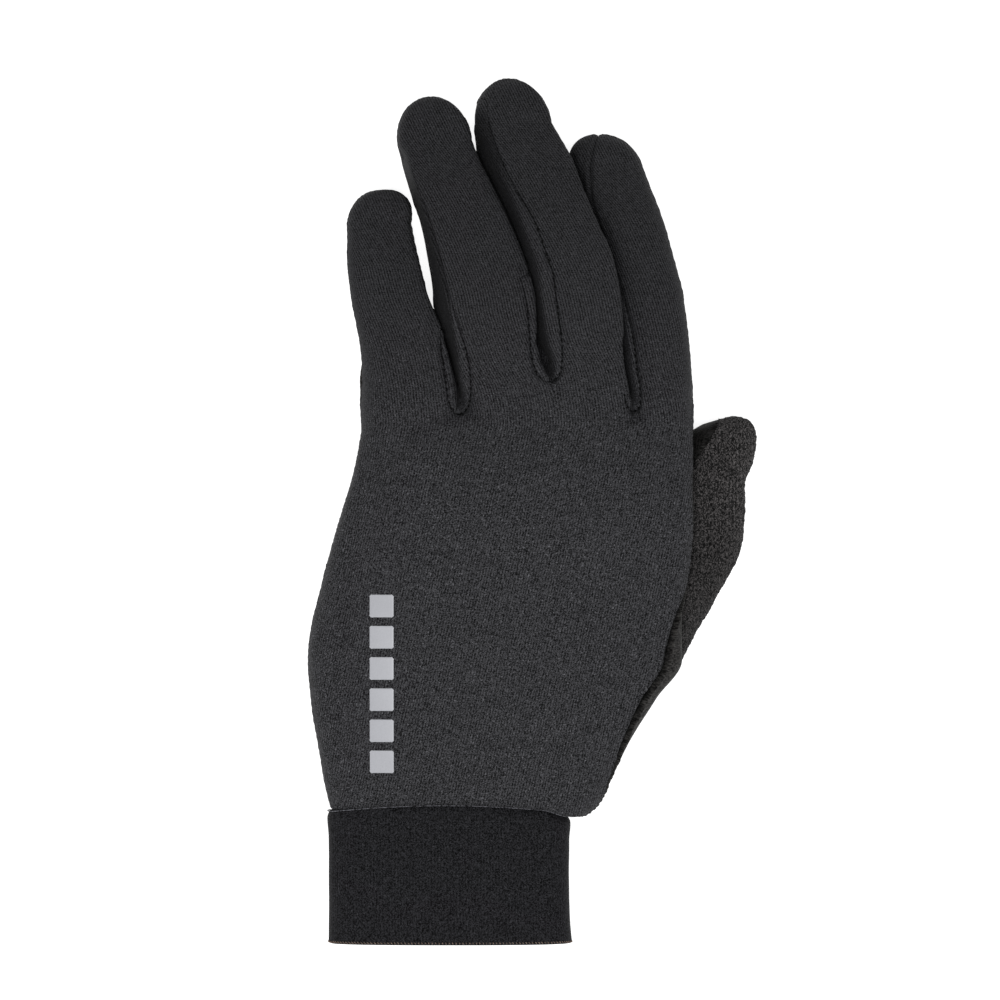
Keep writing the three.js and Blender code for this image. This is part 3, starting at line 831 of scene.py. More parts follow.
def signed_plan_distance(points, outline):
    """Distance in plan to a closed outline, negative inside it. Far off it is only large."""
    result = np.full(len(points), FAR_AWAY)
    low, high = outline.min(0) - 4, outline.max(0) + 4
    near = ((points[:, :2] > low) & (points[:, :2] < high)).all(1)
    x, y = points[near, :2].T
    best = np.full(len(x), 1e9)
    inside = np.zeros(len(x), bool)
    for (ax, ay), (bx, by) in zip(outline, np.roll(outline, -1, axis=0)):
        dx, dy = bx - ax, by - ay
        t = np.clip(((x - ax) * dx + (y - ay) * dy) / max(dx * dx + dy * dy, 1e-9), 0, 1)
        best = np.minimum(best, (x - ax - t * dx) ** 2 + (y - ay - t * dy) ** 2)
        if ay != by:
            inside ^= ((ay > y) != (by > y)) & (x < ax + (y - ay) / (by - ay) * dx)
    result[near] = np.where(inside, -1, 1) * np.sqrt(best)
    return result


def finger_at(points):
    """Which finger a place belongs to, counted from the little finger, split at the strips."""
    which = np.zeros(len(points), int)
    x = points[:, 0]
    if points.shape[1] > 3:
        # Where neighbours overlap, a side that faces right is that of the finger on the left.
        x = x - FACING_SHIFT * points[:, 3]
    for k in range(3):
        right, left = slot_edges(k, points[:, 1])
        which += x > (left + right) / 2
    return which


def strip_distance(points, k):
    """How far places lie outside a strip: in plan, or above where its seam is hidden."""
    which = finger_at(points)
    right, left = slot_edges(k, points[:, 1])
    slot = (right + left) / 2
    # A side that reaches past the middle of the slot counts as lying there.
    x = np.where(which <= k, np.minimum(points[:, 0], slot), np.maximum(points[:, 0], slot))
    value = signed_plan_distance(np.stack([x, points[:, 1]], 1), outline_of_strip(k)[1])
    for finger, tops in zip((k, k + 1), STRIP_TOPS[k]):
        chosen = which == finger
        above = points[chosen, 2] - column_values(tops, points[chosen, 1])[:, 0]
        value[chosen] = np.maximum(value[chosen], above)
    return value


def above_edge_seam(points):
    """How far places lie above the seam between the back and the palm."""
    heights = column_values(EDGE_SEAM, points[:, 1])
    rows = column_values(HAND, points[:, 1])
    share = np.clip((points[:, 0] - rows[:, 0]) / (rows[:, 1] - rows[:, 0]), 0, 1)
    at_palm = heights[:, 0] * (1 - share) + heights[:, 1] * share
    which = finger_at(points)
    at_finger = np.zeros(len(points))
    for k in range(4):
        chosen = which == k
        finger = column_values(FINGERS[k], points[chosen, 1])
        at_finger[chosen] = (finger[:, 2] + np.maximum(finger[:, 3], 0)) / 2
    blend = smooth_step((points[:, 1] - FINGER_SEAM_FROM) / FINGER_SEAM_RAMP)
    return points[:, 2] - (at_palm * (1 - blend) + at_finger * blend)


def wrist_line(x, z):
    """Where the hand ends and the cuff begins: a slight arc over the top."""
    over = smooth_step((z - WRIST_SIDE) / WRIST_SIDE_RAMP)
    corner = WRIST_CORNER * smooth_step((x - WRIST_CORNER_FROM) / WRIST_CORNER_RAMP)
    bend = WRIST_BEND * ((x - WRIST_CENTRE) / WRIST_HALF_WIDTH) ** 2
    return WRIST_Y + over * (WRIST_RISE - bend) - corner


def tree_of(points):
    """A search tree of points, which finds those nearest to a place."""
    tree = KDTree(len(points))
    for i, place in enumerate(points):
        tree.insert(place, i)
    tree.balance()
    return tree


def shrink_seams(points, normals, border, depth, width, period):
    """Draws the surface in along its seams, more at each stitch, with a swelling beside them."""
    tree = tree_of(border)
    moved = points.copy()
    uneven = lumps(*points.T, UNEVEN_SIZE, 7)
    for i, place in enumerate(points):
        found, _, distance = tree.find(place)
        if distance > HOLLOW_REACH * width:
            continue
        turn = 2 * math.pi * (found[1] + STITCH_SLANT * found[0]) / period
        pucker = 0.5 + 0.5 * math.cos(turn + STITCH_UNEVEN * uneven[i])
        hollow = math.exp(-((distance / width) ** 2) * HOLLOW_FALL)
        dip = depth * (HOLLOW_LEAST + HOLLOW_AT_STITCH * pucker) * hollow
        beside = math.exp(-(((distance - SWELLING_AT * width) / (SWELLING_WIDTH * width)) ** 2))
        puff = (SWELLING + SWELLING_UNEVEN * uneven[i]) * depth * beside
        puff *= SWELLING_MOST - SWELLING_AT_STITCH * pucker
        moved[i] = place - normals[i] * (dip - puff)
    return moved


def seam_nearness(points, border, reach):
    """1 at a seam and 0 from the given distance on."""
    tree = tree_of(border)
    far = np.array([tree.find(place)[2] for place in points])
    return 1 - smooth_step(far / reach)


def walled(points, normals, triangles, wall):
    """A sheet with an inner side and rims: points and triangles."""
    used = np.unique(triangles)
    remap = np.full(len(points), -1)
    remap[used] = np.arange(len(used))
    triangles = remap[triangles]
    outer = points[used]
    inner = outer - normals[used] * wall
    n = len(used)
    edges = np.concatenate([triangles[:, [0, 1]], triangles[:, [1, 2]], triangles[:, [2, 0]]])
    key = np.sort(edges, axis=1)
    _, inverse, count = np.unique(key, axis=0, return_inverse=True, return_counts=True)
    rim = edges[count[inverse.ravel()] == 1]
    a, b = rim[:, 0], rim[:, 1]
    rims = np.concatenate([np.stack([b, a, a + n], 1), np.stack([b, a + n, b + n], 1)])
    faces = np.concatenate([triangles, triangles[:, ::-1] + n, rims])
    return np.concatenate([outer, inner]), faces, used


def point_normals(points, triangles):
    """Outward directions at the points of triangles."""
    corner = points[triangles]
    face = np.cross(corner[:, 1] - corner[:, 0], corner[:, 2] - corner[:, 0])
    total = np.zeros_like(points)
    for i in range(3):
        np.add.at(total, triangles[:, i], face)
    return total / np.maximum(np.linalg.norm(total, axis=1, keepdims=True), 1e-12)


# Meshes and materials


def piece_from(name, points, faces, attributes=None):
    """A new object from points in millimetres and lists of corners, at the origin."""
    mesh = bpy.data.meshes.new(name)
    mesh.from_pydata((np.asarray(points) * MM).tolist(), [], faces)
    for key, values in (attributes or {}).items():
        kind, field = ("FLOAT", "value") if values.ndim == 1 else ("FLOAT_VECTOR", "vector")
        layer = mesh.attributes.new(key, kind, "POINT")
        layer.data.foreach_set(field, np.ascontiguousarray(values, np.float32).ravel())
    mesh.update()
    obj = bpy.data.objects.new(name, mesh)
    bpy.context.scene.collection.objects.link(obj)
    return obj


def make_active(obj):
    bpy.ops.object.select_all(action="DESELECT")
    obj.select_set(True)
    bpy.context.view_layer.objects.active = obj


def face_outwards(obj):
    """Turns all faces of a closed piece outwards."""
    make_active(obj)
    bpy.ops.object.mode_set(mode="EDIT")
    bpy.ops.mesh.select_all(action="SELECT")
    bpy.ops.mesh.normals_make_consistent(inside=False)
    bpy.ops.object.mode_set(mode="OBJECT")


def finish_piece(obj, slot, material, *nodes, sharp=None):
    """Gives a piece its smooth shading, its material and its place in the frame."""
    make_active(obj)
    if sharp is None:
        bpy.ops.object.shade_smooth()
    else:
        bpy.ops.object.shade_smooth_by_angle(angle=math.radians(sharp))
    obj.data.materials.append(material)
    if nodes:
        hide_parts(*nodes)
    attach(obj, "root")


# Edges sharper than this many degrees stay sharp on the panels' rims.
RIM_ANGLE = 60


class Shading:
    """A small helper that adds nodes to a new material and links them."""

    def __init__(self, name):
        self.material = bpy.data.materials.new(name)
        self.material.use_nodes = True
        self.tree = self.material.node_tree
        self.shader = self.tree.nodes["Principled BSDF"]

    def fill(self, socket, value):
        if isinstance(value, bpy.types.NodeSocket):
            self.tree.links.new(value, socket)
        else:
            socket.default_value = value

    def add(self, kind, inputs=None, **settings):
        node = self.tree.nodes.new(kind)
        for key, value in settings.items():
            setattr(node, key, value)
        for key, value in (inputs or {}).items():
            self.fill(node.inputs[key], value)
        return node

    def maths(self, operation, a, b=0.0):
        return self.add("ShaderNodeMath", {0: a, 1: b}, operation=operation).outputs[0]

    def times(self, a, b):
        return self.maths("MULTIPLY", a, b)

    def plus(self, first, *others):
        for other in others:
            first = self.maths("ADD", first, other)
        return first

    def swing(self, value, strength):
        """A value between 0 and 1 turned into one round 0, of the given strength."""
        return self.times(self.maths("SUBTRACT", value, 0.5), strength)

    def rest(self, value, share):
        """What is left of 1 when a share of a value is taken off."""
        return self.maths("SUBTRACT", 1.0, self.times(value, share))

    def between(self, value, start, end, low=0.0, high=1.0):
        """low up to the start, high from the end on, and even steps between them."""
        return self.add("ShaderNodeMapRange", {"Value": value, "From Min": start, "From Max": end,
                                               "To Min": low, "To Max": high},
                        clamp=True).outputs[0]

    def noise(self, place, scale, detail, roughness=0.5):
        return self.add("ShaderNodeTexNoise", {"Vector": place, "Scale": scale, "Detail": detail,
                                               "Roughness": roughness}).outputs[0]

    def attribute(self, name, output="Fac"):
        return self.add("ShaderNodeAttribute", attribute_name=name).outputs[output]

    def stretched(self, place, factors):
        return self.add("ShaderNodeVectorMath", {0: place, 1: factors},
                        operation="MULTIPLY").outputs[0]

    def toned(self, rgb, tone):
        return self.add("ShaderNodeVectorMath", {0: tuple(rgb), "Scale": tone},
                        operation="SCALE").outputs[0]

    def bump(self, height, strength, distance):
        return self.add("ShaderNodeBump", {"Height": height, "Strength": strength,
                                           "Distance": distance * MM}).outputs[0]

    def mix(self, share, rgb, low, high):
        """A colour between two shades of one colour."""
        node = self.add("ShaderNodeMix", data_type="RGBA")
        shades = [(*[min(1.0, c * factor) for c in rgb], 1.0) for factor in (low, high)]
        for socket, value in zip((node.inputs[0], node.inputs[6], node.inputs[7]),
                                 (share, *shades)):
            self.fill(socket, value)
        return node.outputs[2]

    def set(self, **values):
        for key, value in values.items():
            self.fill(self.shader.inputs[key.replace("_", " ")], value)


def random_cells(s, place, across, along):
    """Two random values for each small cell of the cloth, as every loop has its own tone."""
    scaled = s.stretched(place, (1 / (across * MM), 1 / (along * MM), 1 / (along * MM)))
    whole = s.add("ShaderNodeVectorMath", {0: scaled}, operation="FLOOR").outputs[0]
    noise = s.add("ShaderNodeTexWhiteNoise", {"Vector": whole}, noise_dimensions="3D")
    parts = s.add("ShaderNodeSeparateXYZ", {0: noise.outputs["Color"]})
    return noise.outputs["Value"], parts.outputs[1]


# How the knit looks: how far each loop leans and shows, the sizes of the yarn's and the cloth's
# unevenness as noise scales, the light flecks, which are painted glints of the glittery yarn, and
# the tone all round.
LOOP_LEAN, LOOP_SHARE = 2.2, 0.35
YARN_SCALE, CLOUD_SCALE = 3600.0, 260.0
CLOUD_STRENGTH = 0.12
FLECK_CELL, FLECK_FROM, FLECK_TO, FLECK_BRIGHT = 0.33, 0.96, 0.99, 2.6
FLECKS_LOST_IN_STRETCH = 0.6
KNIT_TONE, KNIT_DARKEST = 0.9, 0.1
# Where the cloth goes from loose to stretched, in millimetres along the hand.
LOOSE_TO, STRETCHED_FROM = 5, 60
# How dark the seams get: partly a dark needle line, partly painted shade in their hollows.
SEAM_DARK = 0.25
KNIT_SHEEN, KNIT_GLOSS = 0.03, 0.05


def knit_material(name, rgb, wale=0.77, course=0.56, ribs=(0.6, 0.6), grain=0.3,
                  pepper=(2.3, 2.3), fleck=0.7, cell=(0.22, 0.24), relief=0.12,
                  falloff_shade=(10.0, 100.0, 0.0), shade=0.65, shine=1.0):
    """Knitted cloth on the piece's own knit coordinates: x across the wales, y along them.

    ribs and pepper are strengths on the hand and over the fingers, where the cloth is stretched.
    falloff_shade says between which y painted shade makes the cloth darker, and by how much.
    """
    # shade says how dark the painted shade from the attribute deep makes the cloth.
    s = Shading(name)
    place = s.attribute("knit", "Vector")
    parts = s.add("ShaderNodeSeparateXYZ", {0: place})
    across = s.times(parts.outputs[0], 2 * math.pi / (wale * MM))
    along = s.times(parts.outputs[1], 2 * math.pi / (course * MM))
    wave_across = s.maths("SINE", across)
    # Each loop leans to the middle of its wale, so the courses run in small arrows.
    bent = s.plus(along, s.times(s.maths("ABSOLUTE", wave_across), LOOP_LEAN))
    loops = s.plus(wave_across, s.times(s.maths("SINE", bent), LOOP_SHARE))
    yarn = s.noise(place, YARN_SCALE, 1.0, 0.6)
    cloud = s.noise(place, CLOUD_SCALE, 3.0, 0.7)
    stretch = s.between(parts.outputs[1], LOOSE_TO * MM, STRETCHED_FROM * MM)
    own = random_cells(s, place, *cell)[0]
    # The light flecks are painted glints of the glittery yarn, fewer where the cloth is stretched.
    glint_chance = random_cells(s, place, FLECK_CELL, FLECK_CELL)[1]
    painted_glints = s.times(s.between(glint_chance, FLECK_FROM, FLECK_TO, high=FLECK_BRIGHT * fleck),
                     s.rest(stretch, FLECKS_LOST_IN_STRETCH))
    # The loops show in the colour as painted shade in the pits between the yarns.
    rows = s.times(loops, s.between(stretch, 0.0, 1.0, *ribs))
    rough = s.plus(s.swing(yarn, 2 * grain), s.swing(own, s.between(stretch, 0.0, 1.0, *pepper)))
    tone = s.plus(s.plus(rows, rough), s.plus(s.swing(cloud, CLOUD_STRENGTH), painted_glints))
    tone = s.maths("MAXIMUM", s.plus(tone, KNIT_TONE), KNIT_DARKEST)
    # Painted shade: the cloth gets darker along the hand, towards the fingertips.
    painted_falloff = s.between(parts.outputs[1], falloff_shade[0] * MM, falloff_shade[1] * MM, 1.0, 1.0 - falloff_shade[2])
    # Darker along the seams: partly a dark needle line, partly painted shade; beside the thumb a
    # painted shadow.
    seam_shade = s.rest(s.attribute("seam"), SEAM_DARK)
    # Painted shade from the attribute deep: in the slots between the fingers, painted lighter on
    # the index finger's low side, and on the thumb's inner panel.
    painted_shade = s.rest(s.attribute("deep"), shade)
    tone = s.times(s.times(tone, painted_falloff), s.times(seam_shade, painted_shade))
    height = s.plus(s.times(loops, 0.3), s.times(yarn, 0.9))
    s.set(Base_Color=s.toned(rgb, tone), Roughness=0.75, Normal=s.bump(height, 0.6, relief),
          Sheen_Weight=KNIT_SHEEN * shine, Sheen_Roughness=0.4,
          Specular_IOR_Level=KNIT_GLOSS * min(1.0, 3 * shine))
    return s.material


# How the towelling looks: its loops are drawn out across the thumb, stand in rows that wander, and
# differ in tone. The pile is darker towards the thumb's foot.
LOOP_DRAWN = (1.3, 0.75, 1.0)
LOOP_SCALE, LOOP_RIPPLE, LOOP_CLOUD = 2100.0, 1300.0, 200.0
LOOP_CELL = (0.26, 0.34)
LOOP_ROW = 1.0
ROW_WANDER = 9.0
KNOT_TONE, RIPPLE_TONE, CLOUD_TONE, OWN_TONE, ROW_TONE = 0.9, 1.6, 0.3, 4.4, 0.4
PILE_TONE, PILE_DARKEST = 0.8, 0.08
FOOT_DARK_FROM, FOOT_DARK_TO, FOOT_DARK_TONE = -20, 2, 0.72
PILE_RELIEF = 0.4


def towelling_material(name, rgb):
    """Short looped pile in small knots, with painted shade in the pits between them."""
    s = Shading(name)
    place = s.attribute("knit", "Vector")
    parts = s.add("ShaderNodeSeparateXYZ", {0: place})
    cells = s.add("ShaderNodeTexVoronoi", {"Vector": s.stretched(place, LOOP_DRAWN),
                                           "Scale": LOOP_SCALE, "Randomness": 0.95},
                  feature="F1")
    own = random_cells(s, place, *LOOP_CELL)[0]
    ripple = s.noise(place, LOOP_RIPPLE, 4.0, 0.75)
    cloud = s.noise(place, LOOP_CLOUD, 3.0, 0.6)
    # Darker between the knots: painted shade in the pits of the pile.
    knots = s.between(cells.outputs["Distance"], 0.1, 0.75, 1.0, -0.7)
    rows = s.maths("SINE", s.plus(s.times(parts.outputs[0], 2 * math.pi / (LOOP_ROW * MM)),
                                  s.swing(ripple, ROW_WANDER)))
    tone = s.plus(s.times(knots, KNOT_TONE), s.swing(ripple, RIPPLE_TONE),
                  s.swing(cloud, CLOUD_TONE), s.swing(own, OWN_TONE), s.times(rows, ROW_TONE))
    tone = s.maths("MAXIMUM", s.plus(tone, PILE_TONE), PILE_DARKEST)
    towards_foot = s.between(parts.outputs[1], FOOT_DARK_FROM * MM, FOOT_DARK_TO * MM, FOOT_DARK_TONE, 1.0)
    s.set(Base_Color=s.toned(rgb, s.times(tone, towards_foot)), Roughness=0.9,
          Normal=s.bump(s.plus(knots, ripple), 1.0, PILE_RELIEF),
          Sheen_Weight=0.05, Sheen_Roughness=0.5, Specular_IOR_Level=0.05)
    return s.material


def thread_material(name, rgb, contrast=0.4):
    """Twisted thread, lighter and darker by the contrast."""
    s = Shading(name)
    place = s.add("ShaderNodeTexCoord").outputs["Object"]
    share = s.between(s.noise(place, 1800.0, 2.0), 0.35, 0.65)
    s.set(Base_Color=s.mix(share, rgb, 1 - contrast, 1 + contrast), Roughness=0.7,
          Specular_IOR_Level=0.05)
    return s.material


def reflective_material(name, rgb):
    """Heat-pressed reflective film with fine glass beads."""
    s = Shading(name)
    place = s.add("ShaderNodeTexCoord").outputs["Object"]
    beads = s.noise(place, 2600.0, 1.0)
    share = s.plus(s.times(beads, 0.6), s.times(s.noise(place, 160.0, 3.0), 0.4))
    s.set(Base_Color=s.mix(share, rgb, 0.86, 1.12), Roughness=0.45,
          Normal=s.bump(beads, 0.3, 0.03), Specular_IOR_Level=0.5)
    return s.material


# The hand's panels

# The hand's finished surface, which the stitches are laid on.
SURFACE = {}
PANELS = ("back_panel", "palm_panel", "side_strip_little_ring", "side_strip_ring_middle",
          "side_strip_middle_index")
# The label of each panel's triangles, and of those that fall away at the slits and openings.
BACK, PALM, FIRST_STRIP = 0, 1, 2
DROPPED = -1
# Corners of the box in which the spread hand is meshed.
MESH_BOX = ((-75, -86, -1.5), (74, 121.5, 40))
# The mesh is cut above the wrist's line too, at these distances.
WRIST_LEVELS = (0.0, 0.5, 1.0, 1.6)


def knit_coordinates(points, from_top):
    """Where a place lies on the cloth: across the wales and along them, in metres."""
    x, y, z = points[:, :3].T
    hand = column_values(HAND, y)
    level = TOP if from_top else BOTTOM
    centre = (hand[:, 0] + hand[:, 1]) / 2
    dx = x - centre
    across = centre + np.sign(dx) * np.hypot(dx, hand[:, level] - z)
    which = finger_at(points)
    on_finger = np.zeros(len(points))
    for k in range(4):
        chosen = which == k
        fy, last = y[chosen], FINGERS[k][-1, 0]
        finger = column_values(FINGERS[k], fy)
        start = row_at(FINGERS[k], WALES_START)
        fx = x[chosen] - (finger[:, 0] + finger[:, 1]) / 2
        # Over the fingertip the wales no longer turn down the sides.
        closed = smooth_step((fy - last + TIP_CLOSE) / TIP_CLOSE_RAMP)
        fz = (finger[:, level] - z[chosen]) * (1 - closed)
        lean = WALE_LEANS[k] * np.maximum(fy - WALES_FROM, 0)
        lean += TIP_WALE_LEAN * np.maximum(fy - last + TIP_WALE_LENGTH, 0)
        reach = np.hypot(fx, fz) + SIDE_STRETCH * np.maximum(fz - SIDE_BELOW, 0)
        on_finger[chosen] = (start[0] + start[1]) / 2 + np.sign(fx) * reach + lean
    blend = smooth_step((y - PALM_WALES_TO) / PALM_WALES_RAMP)
    u = across * (1 - blend) + on_finger * blend
    u = u - PALM_WALE_LEAN * np.minimum(y - WALES_FROM, 0)
    return np.stack([u, y * COURSE_STRETCH, z * KNIT_HEIGHT], 1) * MM


def shade_on_left(k, x, y):
    """1 where the left side of a finger gets painted shade."""
    table = SHADES[k]
    edge = column_values(table, y)[:, 0]
    begin = smooth_step((y - table[0, 0] + 2) / 4)
    softer = np.clip(np.minimum(y - SOFTER_FROM, 2 * (SOFTER_TO - y)), 0, SOFTEST_AFTER)
    ramp = EDGE_SHARP + EDGE_SOFTER * softer
    return begin * (1 - smooth_step((x - edge + ramp / 2) / ramp))


def painted_slot_shade(points):
    """How much painted shade a place gets: 1 deep in the slot between two fingers, 0 on top of the
    hand.
    """
    which = finger_at(points)
    depth = np.zeros(len(points))
    for k in range(4):
        chosen = (which == k) & (points[:, 1] > WALES_FROM)
        x, y, z = points[chosen, :3].T
        finger = column_values(FINGERS[k], y)
        value = smooth_step((finger[:, 2] - DARK_BELOW[k] - z) / DARK_RAMP)
        if k == MIDDLE_FINGER:
            value = value * np.where(x > finger[:, :2].mean(1), MIDDLE_RIGHT_DARK, 1.0)
        if k in SHADES:
            shade, share = shade_on_left(k, x, y), 1.0
            if k == MIDDLE_FINGER:
                shade = shade * (1 - smooth_step((y - SHADE_END) / SHADE_FADE))
                share = smooth_step((y - MIDDLE_SHADE_FROM) / MIDDLE_SHADE_RAMP)
                share = MIDDLE_SHADE + (1 - MIDDLE_SHADE) * share
            elif k == INDEX_FINGER:
                share = INDEX_SHADE
            value = np.maximum(value, shade) * share
        if k == INDEX_FINGER:
            low = 1 - smooth_step((y - INDEX_LIGHTER_TO) / INDEX_LIGHTER_RAMP)
            value = value - INDEX_LIGHTER * low
        depth[chosen] = value
    return depth


class HandMesh:
    """The hand's surface while it is cut into panels.

    points holds places and normals, labels the panel of each triangle.
    """

    def __init__(self, cell, slit):
        points, self.triangles = surface_of(spread_form, *MESH_BOX, cell)
        points = settle_on(spread_form, points)
        normals = slope_of(spread_form, points)
        normals /= np.linalg.norm(normals, axis=1, keepdims=True)
        # Bring the spread fingers back together.
        points[:, 0] -= spread_of_palm(points[:, 0], points[:, 1])
        self.points = np.concatenate([points, normals], 1)
        self.labels = np.zeros(len(self.triangles), int)
        self.half = slit / 2
        beside = (self.half, *BESIDE_SEAM)
        self.levels = (*[-level for level in reversed(beside)], *beside)
        self.border, self.beside_thumb = [], []

    def cut(self, value, level):
        """Cuts along one level. Returns the fresh points and the value at all points."""
        before = len(self.points)
        self.points, self.triangles, self.labels, value = cut_along(
            self.points, self.triangles, self.labels, value, level)
        return self.points[before:], value

    def middles(self, value):
        return value[self.triangles].mean(1)

    def cut_strips(self):
        for k in range(3):
            value = strip_distance(self.points, k)
            for level in self.levels:
                fresh, value = self.cut(value, level)
                if abs(level) == self.half:
                    x, y = fresh[:, 0], fresh[:, 1]
                    flat = np.zeros(len(fresh), bool)
                    for strips, right, start, end in FLAT_SEAMS:
                        flat |= (k in strips) & (x < right) & (y > start) & (y < end)
                    self.border.append(fresh[~flat])
            middle = self.middles(value)
            self.labels[middle < -self.half] = FIRST_STRIP + k
            self.labels[np.abs(middle) <= self.half] = DROPPED

    def cut_edges(self):
        for level in self.levels:
            fresh, _ = self.cut(above_edge_seam(self.points), level)
            if abs(level) == self.half:
                strips = np.min([strip_distance(fresh, k) for k in range(3)], axis=0)
                self.border.append(fresh[strips > 0])
                self.beside_thumb.append(fresh[(fresh[:, 0] > 0) & (fresh[:, 1] < 0)])
        middle = self.middles(above_edge_seam(self.points))
        body = self.labels == BACK
        self.labels[body & (middle < -self.half)] = PALM
        self.labels[body & (np.abs(middle) <= self.half)] = DROPPED

    def above_wrist(self):
        return self.points[:, 1] - wrist_line(self.points[:, 0], self.points[:, 2])

    def cut_openings(self):
        """Cuts the wrist's end and the hole in the palm where the thumb is set in."""
        for level in WRIST_LEVELS:
            fresh, _ = self.cut(self.above_wrist(), level)
            if level == WRIST_LEVELS[0]:
                self.border.append(fresh)
        self.labels[self.middles(self.above_wrist()) < 0] = DROPPED
        _, value = self.cut(thumb_distance(*self.points[:, :3].T), THUMB_HOLE)
        self.labels[self.middles(value) < THUMB_HOLE] = DROPPED


class GLOVE_OT_hand(bpy.types.Operator):
    """Make the back, the palm and the three strips between the fingers"""

    bl_idname = "glove.hand"
    bl_label = "Hand panels"

    def execute(self, context):
        size = sizes()
        hand = HandMesh(size.cell / MM, size.seam_gap / MM)
        hand.cut_strips()
        hand.cut_edges()
        hand.cut_openings()
        border = np.concatenate(hand.border)[:, :3]
        beside_thumb = np.concatenate(hand.beside_thumb)[:, :3]
        top, under = (knit_coordinates(hand.points, from_top) for from_top in (True, False))
        # Painted shade between the fingers, which the strips carry in their attribute deep.
        depth = painted_slot_shade(hand.points)
        points, normals = hand.points[:, :3], hand.points[:, 3:]
        normals = normals / np.linalg.norm(normals, axis=1, keepdims=True)
        ragged = 1 + RAGGED * lumps(*points.T, RAGGED_SIZE, 21)
        # Painted shade along the seams, partly their dark needle line, and a painted shadow beside
        # the thumb's seam.
        nearness = seam_nearness(points, border, SEAM_REACH)
        nearness += THUMB_SEAM_SHADOW * ragged * seam_nearness(points, beside_thumb, THUMB_SHADOW_REACH)
        stitch = size.stitch / MM
        points = shrink_seams(points, normals, border, size.seam_depth / MM,
                              size.seam_width / MM, stitch)
        points = shrink_seams(points, normals, beside_thumb, THUMB_SEAM_DEPTH, THUMB_SEAM_WIDTH,
                              stitch)
        points[:, 2] = np.maximum(points[:, 2], FLOOR_GAP)
        # Over the fingers the ribs and pepper change, and painted shade darkens the cloth towards
        # the fingertips.
        over_fingers = {"ribs": (0.36, 0.48), "pepper": (2.3, 1.25), "falloff_shade": (-5, 95, 0.34)}
        materials = [
            ("back_jersey", knit_material("back jersey", colours().back, shine=0.4,
                                          **over_fingers)),
            ("palm_jersey", knit_material("palm jersey", colours().palm, fleck=0.5,
                                          ribs=(0.12, 0.5), grain=1.6, pepper=(2.0, 1.5))),
            ("strip_jersey", knit_material("strip jersey", colours().strip, fleck=0.6,
                                           shade=0.5, shine=0.35, **over_fingers)),
        ]
        for label, name in enumerate(PANELS):
            chosen = hand.triangles[hand.labels == label]
            if not len(chosen):
                raise RuntimeError(name + " has no surface")
            sheet, faces, used = walled(points, normals, chosen, size.wall / MM)
            knit = (under if label == PALM else top)[used]
            deep = depth[used] if label >= FIRST_STRIP else np.zeros(len(used))
            obj = piece_from(name + "_cloth", sheet, faces.tolist(), {
                "knit": np.concatenate([knit, knit]),
                # The inner side gets the seams' darkening all over.
                "seam": np.concatenate([nearness[used], np.ones(len(used))]),
                "deep": np.concatenate([deep, deep]),
            })
            slot, material = materials[min(label, FIRST_STRIP)]
            finish_piece(obj, slot, material, name, sharp=RIM_ANGLE)
        SURFACE["hand"] = (points, normals)
        return {"FINISHED"}


# The thumb

# How many points the thumb's panels have round and along them.
THUMB_AROUND, THUMB_ALONG = 130, 230
# The y between which the thumb's seams are drawn in, and how close their points are.
THUMB_SEWN = (-60, 25, 0.5)
# The mesh is cut at these distances from the hand too.
THUMB_LEVELS = (THUMB_FOOT, 0.6, 1.2)
# Unevenness of the cloth and of the pile: how deep, and how long its waves are.
THUMB_WAVES = ((0.5, 9.0, 11), (0.3, 4.0, 12))
PILE_WAVES = ((0.22, 0.8, 13), (0.12, 0.5, 14))
# The inner panel gets painted shade, where the hand shades it.
THUMB_SHADE = 0.98
# The x and z round which the inner panel's wales run.
THUMB_WALE_CENTRE = (50, 22)


def section_points(row, angles, roundness, inset=0.0, size=1.0):
    """Points of one section at the given directions from its centre."""
    left, right, top, bottom = row
    a, b = (right - left) / 2 - inset, (top - bottom) / 2 - inset
    across, up = np.cos(angles), np.sin(angles)
    reach = 1 / ((np.abs(across) / a) ** roundness + (np.abs(up) / b) ** roundness) ** (
        1 / roundness)
    return (left + right) / 2 + reach * across * size, (top + bottom) / 2 + reach * up * size


def thumb_angles(y, on_back):
    """Directions from the thumb's middle to the points of one panel's section."""
    seam = row_at(THUMB_SEAM, y)[0]
    ends = (THUMB_OUTER_SEAM, seam) if on_back else (seam, THUMB_OUTER_SEAM + 360)
    return np.radians(np.linspace(ends[0] + THUMB_SLIT, ends[1] - THUMB_SLIT, THUMB_AROUND))


def thumb_narrowing(t):
    """How wide the thumb's rounded tip still is at a share of its length."""
    return max(1 - t**THUMB_END_ROUND, 0.0) ** (1 / THUMB_END_ROUND)


